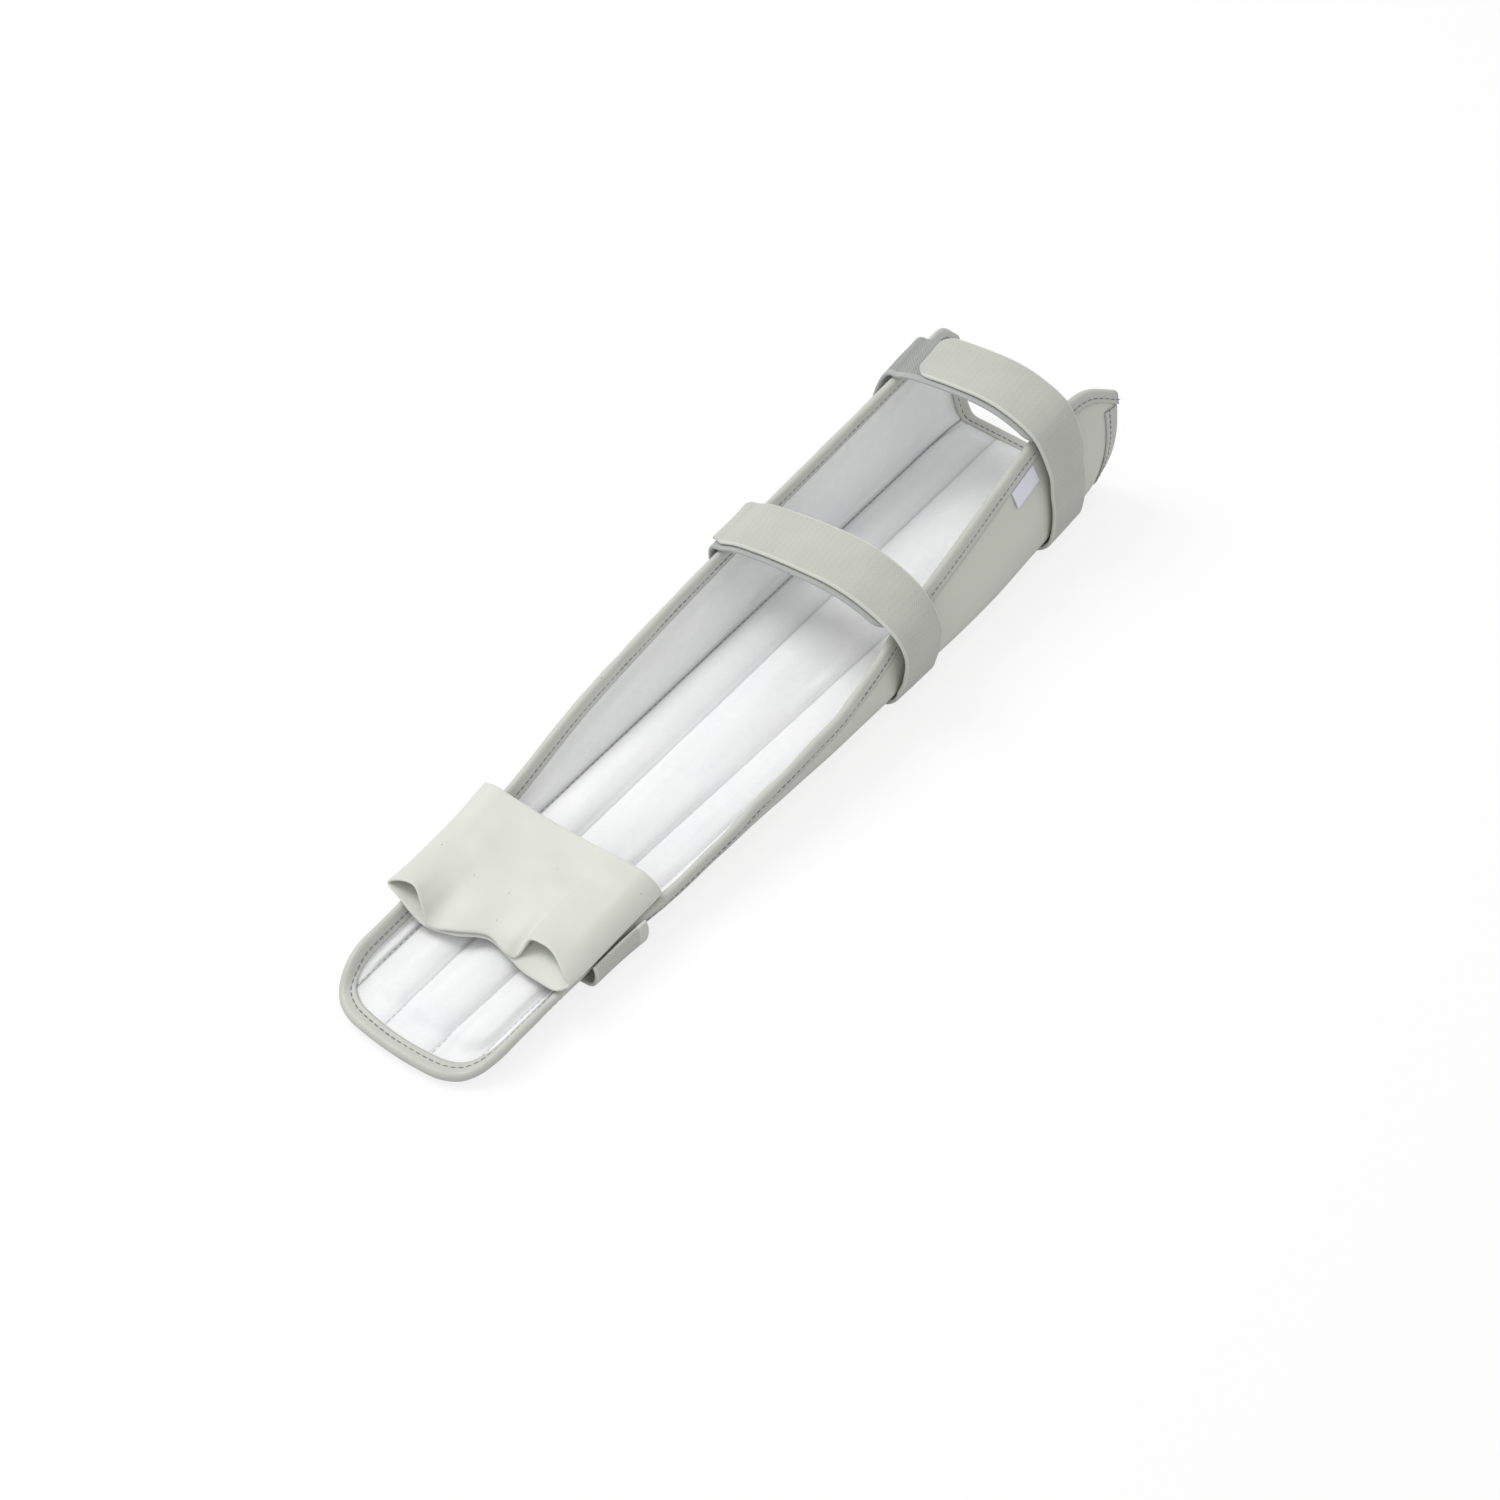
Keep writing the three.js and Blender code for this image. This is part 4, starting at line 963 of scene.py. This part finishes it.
# Columns: place between the rims from -1 to 1, height in lofts at the front and at the back,
# and how far back the front edge is drawn, as a share of the width.
FLAP_LOOP = np.array([
    (-1.05, 0.45, 0.2, 0.14),
    (-0.98, 0.72, 0.62, 0.155),
    (-0.86, 0.95, 0.92, 0.19),
    (-0.72, 1.08, 0.92, 0.225),
    (-0.57, 1.02, 0.85, 0.234),
    (-0.44, 0.8, 0.78, 0.225),
    (-0.4, 0.2, 0.74, 0.18),
    (-0.36, -0.2, 0.7, 0.14),
    (-0.25, -0.14, 0.62, 0.13),
    (0.0, -0.02, 0.5, 0.156),
    (0.3, -0.04, 0.38, 0.06),
    (0.55, -0.08, 0.33, 0.0),
    (0.7, 0.6, 0.33, 0.05),
    (0.85, 1.0, 0.32, 0.1),
    (1.03, 0.85, 0.3, 0.09),
    (1.15, 0.42, 0.06, 0.06),
    (1.0, 0.16, 0.06, 0.04),
    (0.8, -0.08, 0.08, 0.01),
    (0.6, -0.3, 0.1, 0.0),
    (0.3, -0.27, 0.16, 0.05),
    (0.0, -0.27, 0.26, 0.15),
    (-0.28, -0.38, 0.36, 0.133),
    (-0.5, -0.45, 0.45, 0.11),
    (-0.75, -0.2, 0.45, 0.094),
    (-0.93, 0.04, 0.35, 0.086),
    (-1.0, 0.2, 0.2, 0.1),
])


def rim_top(x, side):
    rim_s = side * wall_at(x, side)["reach"]
    return np.maximum(plain(x, rim_s, BINDING_TOP)[..., 2], plain(x, rim_s, 0)[..., 2])


flap_ends = np.array([0, 0.0025, 0.007, 0.014])
flap_shares = np.concatenate([flap_ends, np.linspace(0.025, 0.975, 44), 1 - flap_ends[::-1]])
flap_rows = []
for share in flap_shares:
    across, front, back, start = FLAP_LOOP.T
    x = FLAP_START + FLAP_WIDTH * (start + (1 - start) * share)
    side = side_of(across)
    across = across * np.where(across < 0, 1 - FLAP_TAPER * share ** 2, 1.0)
    rim_y = np.abs(plain(x, side * wall_at(x, side)["reach"], 0)[:, 1])
    seat = rim_top(x, -1) + (rim_top(x, 1) - rim_top(x, -1)) * (across + 1) / 2
    loft = (front + (back - front) * (1 - (1 - share) ** FLAP_FADE)) * FLAP_LOFT
    loop = np.stack([x, across * rim_y, seat + loft + FLAP_WALL / 2], -1)
    flap_rows.append(rounded_path(loop, closed=True, per_span=8)[0])
flap_middle = np.stack(flap_rows)
turn_along = np.gradient(flap_middle, axis=0)
turn_round = (np.roll(flap_middle, -1, 1) - np.roll(flap_middle, 1, 1)) / 2
flap_out = np.cross(turn_along, turn_round)
flap_out /= np.linalg.norm(flap_out, axis=-1, keepdims=True)
flap_run = run_along(flap_middle[FLAP_CUT_ROW])[None, :]
flap_at = flap_shares[:, None] * FLAP_WIDTH
flap_free = smooth(0, 0.15, flap_shares)[:, None]
drape = 0.42 * soft_noise(flap_at, flap_run, 21, 17, 71)
drape = drape + 0.16 * soft_noise(flap_at, flap_run, 8, 11, 72)
on_top = np.arange(flap_middle.shape[1])[None, :] < FLAP_TOP_COLUMNS
top_side = np.abs(flap_out[..., 2]) * on_top
flap_middle = flap_middle + flap_out * (drape * flap_free * top_side)[..., None]
flap_end = np.minimum(flap_shares, 1 - flap_shares) * FLAP_WIDTH
flap_half = 0.5 * FLAP_WALL * edge_share(flap_end, least=0.08)[:, None, None]
flap_cloth = coated_cloth("flap_cloth", srgb(215, 217, 209), fold=0.35)
flap = sheet_mesh(
    "wrist_sleeve",
    (flap_middle + flap_out * flap_half + CENTRE) * MM,
    (flap_middle - flap_out * flap_half + CENTRE) * MM,
    flap_cloth,
    ring=True,
)
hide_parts("wrist_flap")
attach(flap, "root")

# Wrist tab: a short webbing that comes out from under the flap's right fold, goes down the wall
# and is sewn in under the floor. Its inner side is loop pile.
TAB_WIDTH, TAB_START, TAB_RUN = 29.0, 70.0, 30.0
# Columns: share of the rim's distance out, and of its height.
TAB_HANG = np.array([(0.9, 0.14), (1.02, 0.24), (1.075, 0.65), (1.07, 0.95), (1.05, 1.08)])
tab_across = across_places(TAB_WIDTH, [0.0, 0.15, 0.4, 0.85])
tab_shares = np.concatenate([[0, 0.003, 0.01], np.linspace(0.02, 0.98, 60), [0.99, 0.997, 1]])
tab_faces, tab_outs = [], []
for distance in tab_across:
    x = TAB_START + distance
    floor, reach = (float(wall_at(x, -1)[k]) for k in ("floor", "reach"))
    rim_y, rim_z = plain(x, -reach, 0)[1], float(rim_top(x, -1))
    points = [np.array([x, out - floor, WEBBING_WALL]) for out in (TAB_RUN, TAB_RUN / 2, 0)]
    points += [np.array([x, out * rim_y, up * rim_z]) for out, up in TAB_HANG]
    sampled, tab_length = by_length(np.concatenate(rounded_path(points), 1), tab_shares)
    face, out = level_face(sampled[:, :3].copy(), sampled[:, 3:])
    tab_faces.append(face)
    tab_outs.append(out)
tab_face, tab_out = np.stack(tab_faces, 1), np.stack(tab_outs, 1)
tab_thick = edge_share(np.minimum(tab_across, TAB_WIDTH - tab_across))
tab_end_thick = edge_share(np.minimum(tab_shares, 1 - tab_shares) * tab_length)
tab_half = 0.5 * WEBBING_WALL * (tab_thick[None, :] * tab_end_thick[:, None])[..., None]
tab_levels = faces_of(tab_face + tab_out * WEBBING_WALL / 2, tab_out, tab_half)
tab_run = tab_shares[:, None] * tab_length
tab_uv = np.stack(np.broadcast_arrays(tab_run, tab_across[None, :]), -1) * MM
tab = sheet_mesh("tab_webbing", *tab_levels, loop_webbing, tab_uv)
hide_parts("wrist_tab")
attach(tab, "root")

# Label: a small blank satin tag, its top edge caught in the binding's seam just before the
# elbow strap.
LABEL_LENGTH, LABEL_WIDTH, LABEL_WALL, LABEL_CURL = 17.0, 7.5, 0.5, 0.5
SATIN_PITCH = 0.35
label_end = STRAPS["elbow"]["x"] - STRAP_WIDTH / 2 - HOOK_SHIFT - 1.0
label_along, label_down = np.linspace(0, 1, 30), np.linspace(0, 1, 18)
label_x = np.broadcast_to((label_end - LABEL_LENGTH * (1 - label_along))[:, None], (30, 18))
label_s = LABEL_WIDTH * label_down[None, :] - (wall_at(label_x, -1)["reach"] - BINDING_REACH)
curl = LABEL_CURL * (label_down[None, :] ** 2) * (0.6 + 0.4 * np.sin(3 * label_along[:, None]))
satin = Nodes("satin_label", 0.38, specular=0.5)
satin_parts = satin.add("ShaderNodeSeparateXYZ", Vector=satin.cloth())
satin_turns = satin.math("MULTIPLY", satin_parts.outputs["X"], FULL_TURN / (SATIN_PITCH * MM))
satin_rows = satin.math("SINE", satin_turns)
satin_shade = satin.ramp(satin_rows, 0.0, 1.0, srgb(236, 236, 250), srgb(244, 244, 254))
satin_cloth = satin.finish(satin_shade, satin_rows, distance=0.00006, strength=0.5)
label = sheet_mesh(
    "label_tag",
    place(label_x, label_s, -GAP - LABEL_WALL - curl),
    place(label_x, label_s, -GAP - curl),
    satin_cloth,
    np.stack([label_x, label_s], -1) * MM,
)
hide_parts("label")
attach(label, "root")

# Stage: a pale floor, soft light from all round and one lamp above, and a camera at the
# photograph's angle. The floor glows a little in the camera's own view, as a lit backdrop.
FLOOR_SIZE, FLOOR_DROP = 6, 0.0004
BACKDROP_GLOW, BACKDROP_SHARE, STUDIO_LIGHT = 1.1, 0.72, 0.69
LAMP_PLACE, LAMP_SIZE, LAMP_WATTS = (-0.15, 0.85, 1.2), 0.7, 10.0
LENS, SENSOR, FAR_CLIP = 72.0, 36.0, 10
CAMERA_PLACE = (-0.63721414, -0.49976902, 0.92698900)
CAMERA_RIGHT = (0.61221728, -0.79068957, 0.0)
CAMERA_UP = (0.59944892, 0.46414294, 0.6520984)
CAMERA_FORWARD = (0.51560741, 0.39922591, -0.75813434)

bpy.ops.mesh.primitive_plane_add(size=FLOOR_SIZE, location=(0, 0, -FLOOR_DROP))
floor = bpy.context.object
floor.name = "floor"
paper = Nodes("paper_floor", 0.9, specular=0.1)
tooth = paper.noise(paper.objects(), scale=40)
paper.finish(srgb(224, 224, 224), tooth, distance=0.0001, strength=0.05)
glow = paper.add("ShaderNodeEmission", Color=WHITE, Strength=BACKDROP_GLOW)
seen = paper.add("ShaderNodeLightPath").outputs["Is Camera Ray"]
backdrop = paper.add("ShaderNodeMixShader", Fac=paper.math("MULTIPLY", seen, BACKDROP_SHARE))
paper.put(backdrop, 1, paper.shader.outputs[0])
paper.put(backdrop, 2, glow.outputs[0])
paper.put(paper.tree.nodes["Material Output"], "Surface", backdrop.outputs[0])
floor.data.materials.append(paper.material)

world = bpy.data.worlds.new("studio")
world.use_nodes = True
surround = world.node_tree.nodes["Background"]
surround.inputs["Color"].default_value = WHITE
surround.inputs["Strength"].default_value = STUDIO_LIGHT
bpy.context.scene.world = world
bpy.context.scene.view_settings.view_transform = "Standard"

light = bpy.data.lights.new("key", "AREA")
light.energy, light.size = LAMP_WATTS, LAMP_SIZE
lamp = add_object("key", light)
lamp.location = LAMP_PLACE
lamp.rotation_euler = (-Vector(LAMP_PLACE)).to_track_quat("-Z", "Y").to_euler()

lens = bpy.data.cameras.new("camera")
lens.lens, lens.sensor_width, lens.clip_end = LENS, SENSOR, FAR_CLIP
camera = add_object("camera", lens)
camera_axes = np.stack([CAMERA_RIGHT, CAMERA_UP, np.negative(CAMERA_FORWARD)], 1)
turned = Matrix(camera_axes.tolist()).to_4x4()
turned.translation = CAMERA_PLACE
camera.matrix_world = turned
bpy.context.scene.camera = camera
